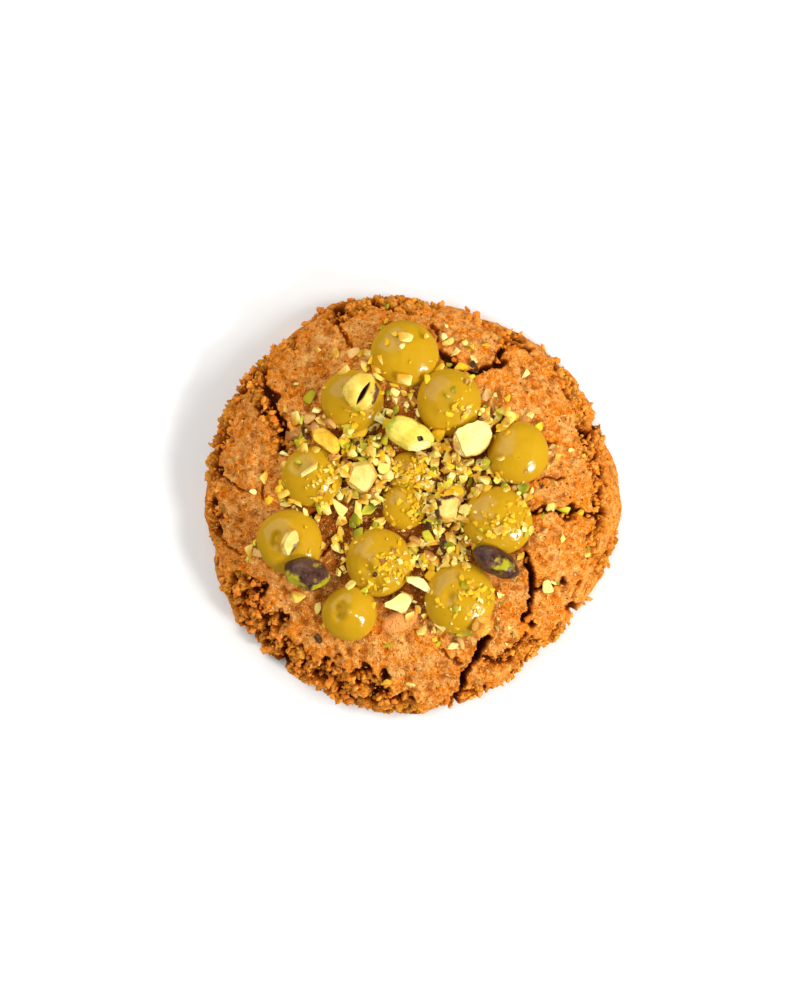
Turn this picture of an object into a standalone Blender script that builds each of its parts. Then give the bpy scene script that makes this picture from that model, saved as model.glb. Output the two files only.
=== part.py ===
"""A pistachio cookie: a thick baked cookie with a cracked, crumbly crust, piped kisses of pistachio cream,
whole and broken pistachio kernels lying on them, and nut chips pressed into the middle.
It stands on z = 0 with +Z up. Tables and helpers work in millimetres, and the meshes are in metres."""

import math
import random

import bmesh
import bpy
import numpy as np
from mathutils import Euler, Matrix, Vector, noise

MM = 0.001
GAP = 0.35  # clearance between two pieces that touch

# The baked cookie
RADIUS = 56.1  # mean radius at its widest
OUTLINE_WAVES = (  # (waves round the edge, height, angle of a crest in degrees)
    (1, 1.2, 170),
    (3, 1.1, 9),
    (4, 0.6, 3),
    (6, 0.4, -18),
    (7, 0.4, 0),
)
RAGGED, RAGGED_SCALE = 0.8, 6
HEIGHT = 20.5  # at the raised ring round the toppings
WIDEST_AT = 3.5  # height of the widest point above the foot
SHOULDER = 3.6  # how square the shoulder is: 2 is an ellipse
FOOT_TUCK = 0.03  # the foot is this share narrower than the widest point
DIP, DIP_REACH = 3.0, 24  # the middle sags under the toppings
FOOT_SPARE = 2.0  # cut off flat at z = 0
RINGS = 72  # of the fine mesh, before it is thinned
FACES_KEPT = 5000

# Relief of the crust: (height, size of its lumps)
UNDULATION = (0.7, 15)
PLATE_GRAIN = (0.25, 4)
CRUMB_SINK = 1.3  # broken crumb lies this far below the plates
CRUMB_KNOBS = (1.5, 2.4)
CRACK_WALL = 0.6  # 0.5 gives a crack a round section, less gives it steeper walls
ROUTE_WANDER = ((1.4, 6), (0.7, 2.5))  # how far cracks stray from their routes, and over what length

# Routes of the cracks and crumb bands: half-width, depth, points. All run outside the toppings.
ROUTES = (
    (1.0, 3.2, ((-41, 37), (-39.5, 31), (-38, 27), (-35.5, 22), (-34.5, 18))),
    (1.2, 3.4, ((20, -36), (17.5, -39), (16, -42), (14, -46), (13, -50), (11.5, -55))),
    (1.0, 3.0, ((30, -13), (32, -18), (33, -23), (31, -27), (30, -31), (32.5, -33))),
    (0.8, 2.4, ((33, -23), (37, -22.5), (41, -21.5))),
    (0.8, 2.2, ((31, -3.5), (37, -1.5), (43, -2), (47, -2.5), (51, -2.5))),
    (0.9, 2.2, ((8, 41), (13, 36.5), (18, 36), (23, 38), (24.3, 43), (31, 42.5))),
    (0.8, 1.8, ((19, -41), (22, -43), (27, -39), (30, -36))),
)
CRUMB_BANDS = (
    (4.2, ((-48, -22), (-43, -27), (-40, -36), (-30, -44), (-16, -49), (-2, -55))),
    (3.4, ((-40, 42), (-47, 35), (-51, 26), (-55, 14))),
    (2.8, ((-21, 51), (-12, 55), (0, 54))),
    (2.0, ((39, 37), (45, 27), (48, 12), (51, 2), (49, -12))),
    (2.0, ((24, -43), (34, -38))),
)
HOLLOW_HALF_WIDTH, HOLLOW_DEPTH = 2.0, 3.0
HOLLOWS = ((-41.5, -23), (-36, -31), (-13.5, -45), (41, -21.5), (47.5, 19), (43, -2))
SUNKEN_NUT = (-3.5, -31.5, 5.4, 2.9, 25, 1.8)  # x, y, half-length, half-width, heading, height of its bulge

# The cream kisses: x, y, radius, height, heading of the leaning tip
KISSES = (
    (-2.2, 40.5, 9.3, 8.0, 120),
    (-16.3, 27.8, 8.7, 7.6, 60),
    (9.6, 27.6, 9.0, 7.8, 30),
    (28.4, 13.8, 8.5, 7.4, 200),
    (-27.2, 7.5, 8.4, 7.2, 45),
    (-2.2, -0.8, 6.3, 5.4, 90),
    (22.8, -4.6, 9.5, 8.2, 150),
    (-33.2, -10.3, 9.0, 7.6, 170),
    (-9.2, -15.7, 9.3, 8.0, 140),
    (12.6, -25.3, 9.8, 8.0, 200),
    (-17.1, -29.5, 7.6, 7.8, 70),
    (-1.5, 8.7, 5.6, 4.6, 0),
)
KISS_PROFILE = (  # share of the radius, share of the height
    (0.84, 0.0),
    (0.97, 0.12),
    (1.0, 0.27),
    (0.94, 0.47),
    (0.78, 0.67),
    (0.50, 0.84),
    (0.16, 0.94),
)
KISS_SIDES = 16
KISS_SINK = 0.9  # its base is pressed this far into the cookie
TIP_LEAN = 0.16  # the tip's shift as a share of the radius

# The kernels: name, (x, y), height of the middle above the cookie, (length, width, thickness),
# (roll, pitch, heading) in degrees, and its broken or split faces as (direction, share of the half-size)
KERNELS = (
    ("kernel_split", (-14, 30.3), 8.0, (11.2, 9.8, 6), (8, 0, 60), ()),
    ("kernel_whole", (-1, 18.8), 6.6, (14, 8.3, 7.6), (0, 4, -27), ()),
    ("kernel_half", (16, 17.6), 5.6, (12, 9.5, 8.4), (-12, 8, 35), (((0, 0, 1), 0.12),)),
    ("kernel_chunk", (-14, 7.6), 3.8, (10, 9, 7), (10, -6, 80),
     (((0, 0, 1), 0.45), ((1, 0.3, 0.2), 0.7), ((-1, 0.5, 0.3), 0.75))),
    ("kernel_broken", (9.5, -1.2), 4.4, (8.5, 8, 7), (-10, 0, 15),
     (((0.3, 0.2, 1), 0.35), ((1, -0.5, 0.4), 0.6))),
    ("kernel_purple_left", (-28.4, -18.8), 4.6, (13, 9, 8), (0, 0, -15), ()),
    ("kernel_purple_right", (22.3, -15.6), 4.8, (14, 7.5, 7.5), (0, 0, -28), ()),
    ("kernel_yellow", (-23.4, 17), 4.2, (9.5, 5.5, 5.5), (20, 0, -45), (((0, 0, 1), 0.5),)),
    ("kernel_toffee", (18.6, -32.8), 5.6, (6.8, 5.8, 5.4), (0, 10, 60), (((1, 0.2, 0.6), 0.6),)),
    ("kernel_slice", (-4, -26.8), 2.6, (8.6, 6.4, 3), (-8, 0, 20), (((0, 0, 1), 0.4),)),
    ("kernel_sliver", (1.8, -21.6), 3.2, (8.6, 4, 3.4), (10, 0, -30), (((0, 0, 1), 0.4),)),
    ("kernel_wedge", (-33.2, -10.3), 7.6, (8, 4.8, 4.6), (15, 5, 68), (((0, -0.4, 1), 0.4),)),
)
KERNEL_TAPER = 0.2  # how much narrower than an egg its ends are
SLIT_WIDTH, SLIT_DEPTH = 0.9, 1.8  # the seam between the two leaves of a whole kernel
SLIT_LENGTH, SLIT_TAPER = 0.6, 0.2  # its share of the kernel's length, and its bottom's share of its width
SLIT_KERNELS = ("kernel_split", "kernel_whole")

# The nut chips, from the largest to the smallest that are solids
CHIP_LARGEST, CHIP_SMALLEST = 4.4, 1.9
CHIPS_ON_COOKIE = 64
CHIP_LIFT = 0.22  # the middle of a chip on the cookie, above its surface, as a share of the chip's size
CHIPS_ON_KISS = 4
KISS_CHIP_REACH = (0.3, 0.68)  # how far out they sit, as shares of the kiss's radius
CHIP_CORNERS = 9
CHIP_SHAPE = (1.0, 0.8, 0.7)  # length, width and thickness of a chip, as shares of its size
CHIP_SPACING = 0.45  # two chips lie at least this share of their sizes apart
CHIP_TRIES = 20000
CHIP_ZONE = (-1, 3, 27, 30)  # x, y, half-width and half-depth of the patch that they fill

# sRGB colour, roughness
BAKED = ((0.87, 0.54, 0.24), 0.75)
CREAM = ((0.86, 0.66, 0.18), 0.3)
PALE_NUT = ((0.97, 0.89, 0.55), 0.5)
GREEN_NUT = ((0.90, 0.82, 0.36), 0.5)
PURPLE_SKIN = ((0.43, 0.29, 0.17), 0.55)
TOFFEE = ((0.94, 0.68, 0.25), 0.25)
KERNEL_FINISH = {
    "kernel_whole": GREEN_NUT,
    "kernel_purple_left": PURPLE_SKIN,
    "kernel_purple_right": PURPLE_SKIN,
    "kernel_toffee": TOFFEE,
}


def clear_scene():
    for thing in list(bpy.data.objects):
        bpy.data.objects.remove(thing, do_unlink=True)


def linear(channel):
    return channel / 12.92 if channel <= 0.04045 else ((channel + 0.055) / 1.055) ** 2.4


def material(name, finish):
    colour, roughness = finish
    made = bpy.data.materials.new(name)
    made.use_nodes = True
    shader = made.node_tree.nodes["Principled BSDF"]
    shader.inputs["Base Color"].default_value = (*(linear(c) for c in colour), 1)
    shader.inputs["Roughness"].default_value = roughness
    shader.inputs["Metallic"].default_value = 0.0
    return made


def add_object(name, shape):
    """An object from a bmesh in millimetres, its normals turned outward."""
    bmesh.ops.recalc_face_normals(shape, faces=shape.faces)
    bmesh.ops.scale(shape, vec=(MM, MM, MM), verts=shape.verts)
    mesh = bpy.data.meshes.new(name)
    shape.to_mesh(mesh)
    shape.free()
    thing = bpy.data.objects.new(name, mesh)
    bpy.context.scene.collection.objects.link(thing)
    return thing


def apply_modifiers(thing):
    bpy.context.view_layer.update()
    graph = bpy.context.evaluated_depsgraph_get()
    mesh = bpy.data.meshes.new_from_object(thing.evaluated_get(graph))
    thing.modifiers.clear()
    thing.data = mesh


def combine(thing, others, operation):
    """Joins the others to thing, or cuts them out of it, by one Boolean, and removes them."""
    if not others:
        return
    group = bpy.data.collections.new(thing.name + "_" + operation.lower())
    bpy.context.scene.collection.children.link(group)
    for other in others:
        bpy.context.scene.collection.objects.unlink(other)
        group.objects.link(other)
    boolean = thing.modifiers.new(operation.title(), "BOOLEAN")
    boolean.operation = operation
    boolean.operand_type = "COLLECTION"
    boolean.collection = group
    boolean.solver = "MANIFOLD"
    apply_modifiers(thing)
    for other in list(group.objects):
        bpy.data.objects.remove(other, do_unlink=True)
    bpy.data.collections.remove(group)


def keep_largest_body(thing):
    """Drops the scraps that a cut leaves loose and fills the hollows that a join seals."""
    shape = bmesh.new()
    shape.from_mesh(thing.data)
    bmesh.ops.remove_doubles(shape, verts=shape.verts, dist=0.002 * MM)
    bmesh.ops.dissolve_degenerate(shape, edges=shape.edges, dist=0.001 * MM)
    bmesh.ops.triangulate(shape, faces=shape.faces)
    left, bodies = set(shape.faces), []
    while left:
        body, front = set(), [next(iter(left))]
        while front:
            face = front.pop()
            if face in body:
                continue
            body.add(face)
            front.extend(other for edge in face.edges for other in edge.link_faces)
        left -= body
        bodies.append(body)
    largest = max(bodies, key=len)
    bmesh.ops.delete(shape, geom=[f for f in shape.faces if f not in largest], context="FACES")
    shape.to_mesh(thing.data)
    shape.free()


# The baked cookie


def outline_radius(angle):
    """The cookie's radius at its widest, in the direction of angle."""
    radius = RADIUS
    for waves, height, crest in OUTLINE_WAVES:
        radius += height * math.cos(waves * (angle - math.radians(crest)))
    reach = RADIUS / RAGGED_SCALE
    return radius + RAGGED * noise.noise(Vector((reach * math.cos(angle), reach * math.sin(angle), 0.5)))


def top_height(x, y):
    """Height of the smooth top over a point of the plan."""
    distance = math.hypot(x, y)
    share = min(1.0, distance / outline_radius(math.atan2(y, x)))
    dome = WIDEST_AT + (HEIGHT - WIDEST_AT) * math.sqrt(1 - share**SHOULDER)
    return dome - DIP * math.exp(-((distance / DIP_REACH) ** 2))


def side_view():
    """The section from the middle of the top, over the shoulder, to below the foot.

    It gives shares of the outline's radius, and heights."""
    turn = np.linspace(0, math.pi / 2, 120)
    shares = np.sin(turn) ** (2 / SHOULDER)
    heights = WIDEST_AT + (HEIGHT - WIDEST_AT) * np.cos(turn)
    down = np.linspace(0, 1 + FOOT_SPARE / WIDEST_AT, 20)[1:]
    return (
        np.concatenate([shares, 1 - FOOT_TUCK * down**2]),
        np.concatenate([heights, WIDEST_AT * (1 - down)]),
    )


def route_distance(x, y, points):
    """Distance from (x, y) to the nearest point of a route."""
    best = math.inf
    for (ax, ay), (bx, by) in zip(points, points[1:]):
        dx, dy = bx - ax, by - ay
        along = ((x - ax) * dx + (y - ay) * dy) / (dx * dx + dy * dy)
        along = min(1.0, max(0.0, along))
        best = min(best, math.hypot(x - ax - along * dx, y - ay - along * dy))
    return best


def sunk_share(distance, half_width):
    """1 in the middle of a crack, falling steeply to 0 at its edges."""
    across = distance / half_width
    return (1 - across * across) ** CRACK_WALL if across < 1 else 0.0


def bulge_height(x, y):
    """Rise of the crust over the kernel baked into it."""
    centre_x, centre_y, half_length, half_width, heading, height = SUNKEN_NUT
    turn = math.radians(heading)
    dx, dy = x - centre_x, y - centre_y
    along = (dx * math.cos(turn) + dy * math.sin(turn)) / half_length
    across = (dy * math.cos(turn) - dx * math.sin(turn)) / half_width
    inside = 1 - along * along - across * across
    return height * math.sqrt(inside) if inside > 0 else 0.0


def crust_relief(point):
    """How far the real crust stands above the smooth form at a point."""
    x, y = point.x, point.y
    for reach, length in ROUTE_WANDER:
        x += reach * noise.noise(point / length + Vector((7, 0, 0)))
        y += reach * noise.noise(point / length + Vector((0, 7, 0)))
    relief = UNDULATION[0] * noise.noise(point / UNDULATION[1])
    relief += PLATE_GRAIN[0] * noise.noise(point / PLATE_GRAIN[1])
    crumb = max(sunk_share(route_distance(x, y, band), wide) for wide, band in CRUMB_BANDS)
    knob = CRUMB_KNOBS[0] * (0.5 - noise.voronoi(point / CRUMB_KNOBS[1])[0][0])
    relief += crumb * (knob - CRUMB_SINK)
    cracks = [depth * sunk_share(route_distance(x, y, route), wide) for wide, depth, route in ROUTES]
    for hollow_x, hollow_y in HOLLOWS:
        away = math.hypot(x - hollow_x, y - hollow_y)
        cracks.append(HOLLOW_DEPTH * sunk_share(away, HOLLOW_HALF_WIDTH))
    return relief - max(cracks) + bulge_height(point.x, point.y)


def cookie_grid():
    """The fine closed surface: rings of 8, 16, 24 and more corners, spaced evenly down the section."""
    shares, heights = side_view()
    steps = np.hypot(np.diff(shares * RADIUS), np.diff(heights))
    length = np.concatenate([[0], np.cumsum(steps)])
    shape = bmesh.new()
    rings = [[shape.verts.new((0, 0, top_height(0, 0)))]]
    for ring in range(1, RINGS + 1):
        down = length[-1] * ring / RINGS
        share, height = np.interp(down, length, shares), np.interp(down, length, heights)
        row = []
        for corner in range(8 * ring):
            angle = math.tau * corner / (8 * ring)
            radius = share * outline_radius(angle)
            sag = DIP * math.exp(-((radius / DIP_REACH) ** 2))
            row.append(shape.verts.new((radius * math.cos(angle), radius * math.sin(angle), height - sag)))
        rings.append(row)
    for inner, outer in zip(rings, rings[1:]):
        stitch_rings(shape, inner, outer)
    shape.faces.new(reversed(rings[-1]))
    return shape


def stitch_rings(shape, inner, outer):
    """Triangles between two rings, of which the outer has eight corners more."""
    i, j = 0, 0
    while i < len(inner) or j < len(outer):
        near, far = inner[i % len(inner)], outer[j % len(outer)]
        inner_next = (i + 1) / len(inner)
        outer_next = (j + 1) / len(outer)
        if outer_next <= inner_next or len(inner) == 1:
            shape.faces.new((near, far, outer[(j + 1) % len(outer)]))
            j += 1
            if len(inner) == 1 and j == len(outer):
                break
        else:
            shape.faces.new((near, far, inner[(i + 1) % len(inner)]))
            i += 1


def baked_cookie():
    """The crust over its fine grid, thinned to few faces and cut flat at the foot."""
    shape = cookie_grid()
    shape.normal_update()
    moves = [vertex.normal * crust_relief(vertex.co) for vertex in shape.verts]
    for vertex, move in zip(shape.verts, moves):
        move.z *= min(1.0, max(0.0, vertex.co.z / WIDEST_AT))
        vertex.co += move
    cookie = add_object("cookie", shape)
    thin = cookie.modifiers.new("Thin", "DECIMATE")
    thin.ratio = FACES_KEPT / (8 * RINGS * RINGS)
    apply_modifiers(cookie)
    shape = bmesh.new()
    shape.from_mesh(cookie.data)
    cut_flat(shape, Vector((0, 0, 0)), Vector((0, 0, -1)))
    shape.to_mesh(cookie.data)
    shape.free()
    return cookie


def cut_flat(shape, point, outward):
    """Cuts off what lies beyond a plane and closes the cut with a flat face."""
    parts = shape.verts[:] + shape.edges[:] + shape.faces[:]
    bmesh.ops.bisect_plane(shape, geom=parts, plane_co=point, plane_no=outward, clear_outer=True)
    rim = [edge for edge in shape.edges if edge.is_boundary]
    bmesh.ops.holes_fill(shape, edges=rim, sides=0)


# The kisses


def kiss_solid(name, kiss, spare=0.0):
    """A piped kiss: a low dome with a bulging side and a soft tip that leans.

    Spare makes it larger all round."""
    x, y, radius, height, heading = kiss
    lean = TIP_LEAN * radius
    tip = Vector((lean * math.cos(math.radians(heading)), lean * math.sin(math.radians(heading)), 0))
    base = Vector((x, y, top_height(x, y) - KISS_SINK))
    shape = bmesh.new()
    rows = []
    for share, level in KISS_PROFILE:
        centre = base + tip * level**3 + Vector((0, 0, level * (height + 2 * spare) - spare))
        reach = share * radius + spare
        row = []
        for side in range(KISS_SIDES):
            angle = math.tau * side / KISS_SIDES
            row.append(shape.verts.new(centre + reach * Vector((math.cos(angle), math.sin(angle), 0))))
        rows.append(row)
    for low, high in zip(rows, rows[1:]):
        for side in range(KISS_SIDES):
            after = (side + 1) % KISS_SIDES
            shape.faces.new((low[side], low[after], high[after], high[side]))
    shape.faces.new(reversed(rows[0]))
    peak = shape.verts.new(base + tip + Vector((0, 0, height + spare)))
    for side in range(KISS_SIDES):
        shape.faces.new((rows[-1][side], rows[-1][(side + 1) % KISS_SIDES], peak))
    return add_object(name, shape)


def kiss_surface_height(kiss, away):
    """Height of a kiss's skin at a distance from its axis."""
    x, y, radius, height, heading = kiss
    shares = [share for share, level in reversed(KISS_PROFILE[2:])]
    levels = [level for share, level in reversed(KISS_PROFILE[2:])]
    return top_height(x, y) - KISS_SINK + height * float(np.interp(away / radius, shares, levels))


# The kernels and chips


def kernel_place(x, y, lift, turn):
    """The transform from a kernel's own axes, its length along X, to its place on the cookie."""
    angles = Euler([math.radians(angle) for angle in turn])
    return Matrix.Translation((x, y, top_height(x, y) + lift)) @ angles.to_matrix().to_4x4()


def kernel_solid(name, place, lift, size, turn, broken, spare=0.0):
    """A pistachio kernel or a piece of one: an egg with blunt ends, with a flat for each broken face."""
    x, y = place
    shape = bmesh.new()
    bmesh.ops.create_icosphere(shape, subdivisions=2, radius=1)
    for vertex in shape.verts:
        taper = 1 - KERNEL_TAPER * vertex.co.x**2
        vertex.co.y *= taper
        vertex.co.z *= taper
    for direction, share in broken:
        outward = Vector(direction).normalized()
        cut_flat(shape, outward * (share + 2 * spare / min(size)), outward)
    halves = Matrix.Diagonal((*(extent / 2 + spare for extent in size), 1))
    bmesh.ops.transform(shape, matrix=kernel_place(x, y, lift, turn) @ halves, verts=shape.verts)
    return add_object(name, shape)


def slit_cutter(name, place, lift, size, turn, broken):
    """A thin wedge along the top of a whole kernel, where its two leaves part."""
    x, y = place
    length, width, thickness = size
    shape = bmesh.new()
    bmesh.ops.create_cube(shape, size=1)
    for vertex in shape.verts:
        if vertex.co.z < 0:
            vertex.co.y *= SLIT_TAPER
    extent = Matrix.Diagonal((SLIT_LENGTH * length, SLIT_WIDTH, 2 * SLIT_DEPTH, 1))
    raised = Matrix.Translation((0, 0, thickness / 2))
    bmesh.ops.transform(shape, matrix=kernel_place(x, y, lift, turn) @ raised @ extent, verts=shape.verts)
    return add_object(name + "_slit", shape)


def chip_solid(name, centre, size, dice):
    """An angular chip of nut: the hull of a few points scattered on a flattened egg."""
    shape = bmesh.new()
    for _ in range(CHIP_CORNERS):
        way = Vector([dice.gauss(0, 1) for axis in range(3)]).normalized()
        shape.verts.new(Vector(centre) + 0.5 * size * way * Vector(CHIP_SHAPE))
    bmesh.ops.convex_hull(shape, input=shape.verts)
    bmesh.ops.delete(shape, geom=[v for v in shape.verts if not v.link_faces], context="VERTS")
    bmesh.ops.rotate(shape, cent=Vector(centre), verts=shape.verts,
                     matrix=Matrix.Rotation(dice.uniform(0, math.tau), 3, "Z"))
    return add_object(name, shape)


def chip_size(number, count):
    return CHIP_LARGEST * (CHIP_SMALLEST / CHIP_LARGEST) ** (number / count)


def clear_of_pieces(x, y, size):
    """Whether a chip at (x, y) lies clear of the kisses, and clear of the kernels or under them."""
    room = size / 2 + GAP
    for kiss_x, kiss_y, radius, height, heading in KISSES:
        if math.hypot(x - kiss_x, y - kiss_y) < radius + room:
            return False
    for name, (nut_x, nut_y), lift, (length, width, thickness), turn, broken in KERNELS:
        under = lift - thickness / 2 > 0.6 * size + GAP
        if math.hypot(x - nut_x, y - nut_y) < length / 2 + room and not under:
            return False
    return True


def chips_on_cookie(dice):
    """Chips spread over the topping patch, the largest first, none touching a kiss or a kernel."""
    centre_x, centre_y, half_width, half_depth = CHIP_ZONE
    chips, taken = [], []
    for _ in range(CHIP_TRIES):
        if len(chips) == CHIPS_ON_COOKIE:
            break
        angle, reach = dice.uniform(0, math.tau), math.sqrt(dice.random())
        x = centre_x + half_width * reach * math.cos(angle)
        y = centre_y + half_depth * reach * math.sin(angle)
        size = chip_size(len(chips), CHIPS_ON_COOKIE)
        crowded = any(math.hypot(x - a, y - b) < CHIP_SPACING * (size + s) for a, b, s in taken)
        if crowded or not clear_of_pieces(x, y, size):
            continue
        taken.append((x, y, size))
        centre = (x, y, top_height(x, y) + CHIP_LIFT * size)
        chips.append(chip_solid(f"chip_{len(chips)}", centre, size, dice))
    return chips


def chips_on_kiss(kiss, dice):
    """A few chips stuck on the upper half of a kiss."""
    x, y, radius, height, heading = kiss
    chips = []
    for number in range(CHIPS_ON_KISS):
        angle = math.tau * (number + dice.uniform(0.1, 0.9)) / CHIPS_ON_KISS
        away = radius * dice.uniform(*KISS_CHIP_REACH)
        size = dice.uniform(CHIP_SMALLEST, 0.75 * CHIP_LARGEST)
        place = (x + away * math.cos(angle), y + away * math.sin(angle), kiss_surface_height(kiss, away))
        chips.append(chip_solid(f"chip_{number}", place, size, dice))
    return chips


def main():
    clear_scene()
    dice = random.Random(21)
    cookie = baked_cookie()
    combine(cookie, chips_on_cookie(dice), "UNION")
    kiss_sockets = [kiss_solid("socket", kiss, GAP) for kiss in KISSES]
    kernel_sockets = [kernel_solid("socket", *kernel[1:], GAP) for kernel in KERNELS]
    combine(cookie, kiss_sockets + kernel_sockets, "DIFFERENCE")
    keep_largest_body(cookie)
    cookie.data.materials.append(material("baked_dough", BAKED))

    cream = material("pistachio_cream", CREAM)
    for number, kiss in enumerate(KISSES, 1):
        piped = kiss_solid(f"cream_kiss_{number:02d}", kiss)
        combine(piped, chips_on_kiss(kiss, dice), "UNION")
        cutters = [kernel_solid("cutter", *kernel[1:], GAP) for kernel in KERNELS]
        cutters += [kiss_solid("cutter", earlier, GAP) for earlier in KISSES[: number - 1]]
        combine(piped, cutters, "DIFFERENCE")
        keep_largest_body(piped)
        piped.data.materials.append(cream)

    for kernel in KERNELS:
        nut = kernel_solid(*kernel)
        if nut.name in SLIT_KERNELS:
            combine(nut, [slit_cutter(*kernel)], "DIFFERENCE")
        keep_largest_body(nut)
        nut.data.materials.append(material(nut.name + "_nut", KERNEL_FINISH.get(nut.name, PALE_NUT)))


main()
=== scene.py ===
import math
import random

import bmesh
import bpy
import numpy as np
from mathutils import Euler, Matrix, Vector, noise
from mathutils.bvhtree import BVHTree


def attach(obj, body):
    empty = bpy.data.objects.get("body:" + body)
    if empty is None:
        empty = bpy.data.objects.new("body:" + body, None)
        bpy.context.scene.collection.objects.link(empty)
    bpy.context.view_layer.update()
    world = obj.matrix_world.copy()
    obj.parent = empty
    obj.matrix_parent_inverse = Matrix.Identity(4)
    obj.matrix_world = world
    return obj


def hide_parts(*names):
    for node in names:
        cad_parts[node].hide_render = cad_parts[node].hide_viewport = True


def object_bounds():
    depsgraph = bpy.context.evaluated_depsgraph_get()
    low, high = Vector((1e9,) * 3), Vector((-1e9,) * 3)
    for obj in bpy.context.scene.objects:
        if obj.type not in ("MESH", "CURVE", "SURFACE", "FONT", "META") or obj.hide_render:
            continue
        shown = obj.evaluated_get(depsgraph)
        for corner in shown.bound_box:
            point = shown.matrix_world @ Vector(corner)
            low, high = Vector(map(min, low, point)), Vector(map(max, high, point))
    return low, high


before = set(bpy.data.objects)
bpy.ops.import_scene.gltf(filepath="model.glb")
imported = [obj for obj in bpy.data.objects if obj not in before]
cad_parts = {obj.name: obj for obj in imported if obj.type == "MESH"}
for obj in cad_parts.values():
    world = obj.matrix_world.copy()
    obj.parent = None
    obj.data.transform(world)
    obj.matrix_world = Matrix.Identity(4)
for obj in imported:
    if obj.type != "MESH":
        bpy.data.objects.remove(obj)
cad_low, cad_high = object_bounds()


# ---- The baked cookie ---------------------------------------------------------------------------------
# A ball of short, crumbly dough that spread and cracked in the oven. Its top dried to a thin crust, which
# split into plates with golden crumb between them. It was baked on a flat tray, so its foot is flat.

MM = 0.001
RADIUS = 56.1  # mean radius at its widest
OUTLINE_WAVES = ((1, 1.2, 170), (3, 1.1, 9), (4, 0.6, 3), (6, 0.4, -18), (7, 0.4, 0))  # waves, height, crest
RAGGED, RAGGED_SCALE = 0.8, 6  # height and length of the rim's small unevenness
HEIGHT = 20.5
WIDEST_AT = 3.5
SHOULDER = 3.6  # how square the shoulder is: 2 is an ellipse
FOOT_TUCK = 0.03
FOOT_BROWNING = 1.6  # how far up the side the tray browned it
DIP, DIP_REACH = 3.0, 24  # the middle sags under the toppings

CRUST_PITCH = 0.41  # mesh spacing where the crust shows
HIDDEN_PITCH, HIDDEN_RADIUS = 0.7, 20  # under the toppings
FOOT_PITCH = 1.3

CRACKS = (  # half-width, depth, route
    (1.0, 3.2, ((-41, 37), (-39.5, 31), (-38, 27), (-35.5, 22), (-34.5, 18))),
    (1.2, 3.4, ((20, -36), (17.5, -39), (16, -42), (14, -46), (13, -50), (11.5, -55))),
    (1.0, 3.0, ((30, -13), (32, -18), (33, -23), (31, -27), (30, -31), (32.5, -33))),
    (0.8, 2.4, ((33, -23), (37, -22.5), (41, -21.5))),
    (0.8, 2.2, ((31, -3.5), (37, -1.5), (43, -2), (47, -2.5), (51, -2.5))),
    (0.9, 2.2, ((8, 41), (13, 36.5), (18, 36), (23, 38), (24.3, 43), (31, 42.5))),
    (0.8, 1.8, ((19, -41), (22, -43), (27, -39), (30, -36))),
)
HAIRLINES = (
    ((-52.5, 7), (-50, 6), (-48, 4.5), (-45, 3.2), (-42, 3.4)),
    ((-40.2, 8), (-40, 2)),
    ((-55, -4), (-50, -3.8)),
    ((-53, -8), (-50, -12), (-47, -14)),
    ((5.5, 49), (7, 46.5), (7.5, 44)),
    ((36, 17), (40, 16.5)),
    ((33, 6.5), (36, 8), (40, 7)),
    ((-22, -41.5), (-20, -40.3)),
    ((8, -39.5), (11, -41.5), (13, -43)),
    ((-24.5, -13), (-21, -12), (-19.5, -11)),
    ((-21, 50.5), (-18.5, 46.5), (-15.7, 42.5), (-15, 40)),
    ((-33, 42), (-31.5, 40.5)),
    ((43, -25), (46, -20)),
)
HAIRLINE_HALF_WIDTH, HAIRLINE_DEPTH = 0.5, 1.3
CRUMB_BANDS = (
    (4.2, ((-48, -22), (-43, -27), (-40, -36), (-30, -44), (-16, -49), (-2, -55))),
    (3.4, ((-40, 42), (-47, 35), (-51, 26), (-55, 14))),
    (2.4, ((-45, 34), (-41.5, 28), (-38, 21.5), (-35, 15))),
    (2.8, ((-21, 51), (-12, 55), (0, 54))),
    (2.0, ((39, 37), (45, 27), (48, 12), (51, 2), (49, -12))),
    (2.0, ((24, -43), (34, -38))),
)
HOLLOW_HALF_WIDTH, HOLLOW_DEPTH = 1.9, 2.4
HOLLOWS = (
    (-41.5, -23), (-36, -31), (-38.5, -37), (-13.5, -45), (-8, -46.5), (41, -21.5), (47.5, 19), (43, -2),
    (23.5, 39), (10.5, 39.5), (-26.5, -2.8), (-38, 29), (-34, 19), (-53, 8),
    (44, -29), (35.5, -42), (-35, -43.5), (-55, -18), (-20, 52.5), (51, 23),
)
SUNKEN_NUT = (-3.5, -31.5, 5.4, 2.9, 25, 1.8)  # x, y, half-length, half-width, heading, height of its bulge
ROUTE_WANDER = ((1.4, 6), (0.7, 2.5), (0.5, 1.1))  # how far cracks stray, and over what length
CRUST_SWELLS = ((0.8, 15), (0.75, 5))  # height, size
CRUST_LUMPS = ((0.42, 2.4), (0.14, 1.0))
CRUST_CREASES = (0.4, 3.0)
CRUST_GRAINS = (0.22, 1.3)
CRUMB_LUMPS = ((1.6, 3.6), (1.2, 1.9), (0.5, 1.0))
CRUMB_TWIST = (1.0, 2.1)  # how far the crumb's lumps are pulled out of round, and over what length
CRUMB_SINK = 1.1
PORE_DEPTH = 2.4
PORE_SIZE = 2.6
CRACK_WALL = 0.6  # how steep a crack's walls are: 1 is a parabola, and less is steeper
CRACK_SWING = (0.9, 2.2)  # how much a crack widens and narrows, and over what length
BAND_RAGS = (0.5, 2.4)
SMOOTH_HEADING = math.radians(20)  # the rim is roughest on the side across from it, its left
BROWNED_AND_SHADED_FROM, BROWNED_AND_SHADED_FULLY = 34, 24  # radii of the darker brown towards the nuts: browning and painted shade
TOAST_PATCHES = (0.6, 5)
LIP, LIP_REACH = 0.35, 1.2  # the broken edge of a plate stands up a little
TRAY_PITS = 0.3  # how deep the foot's small pits are
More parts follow.
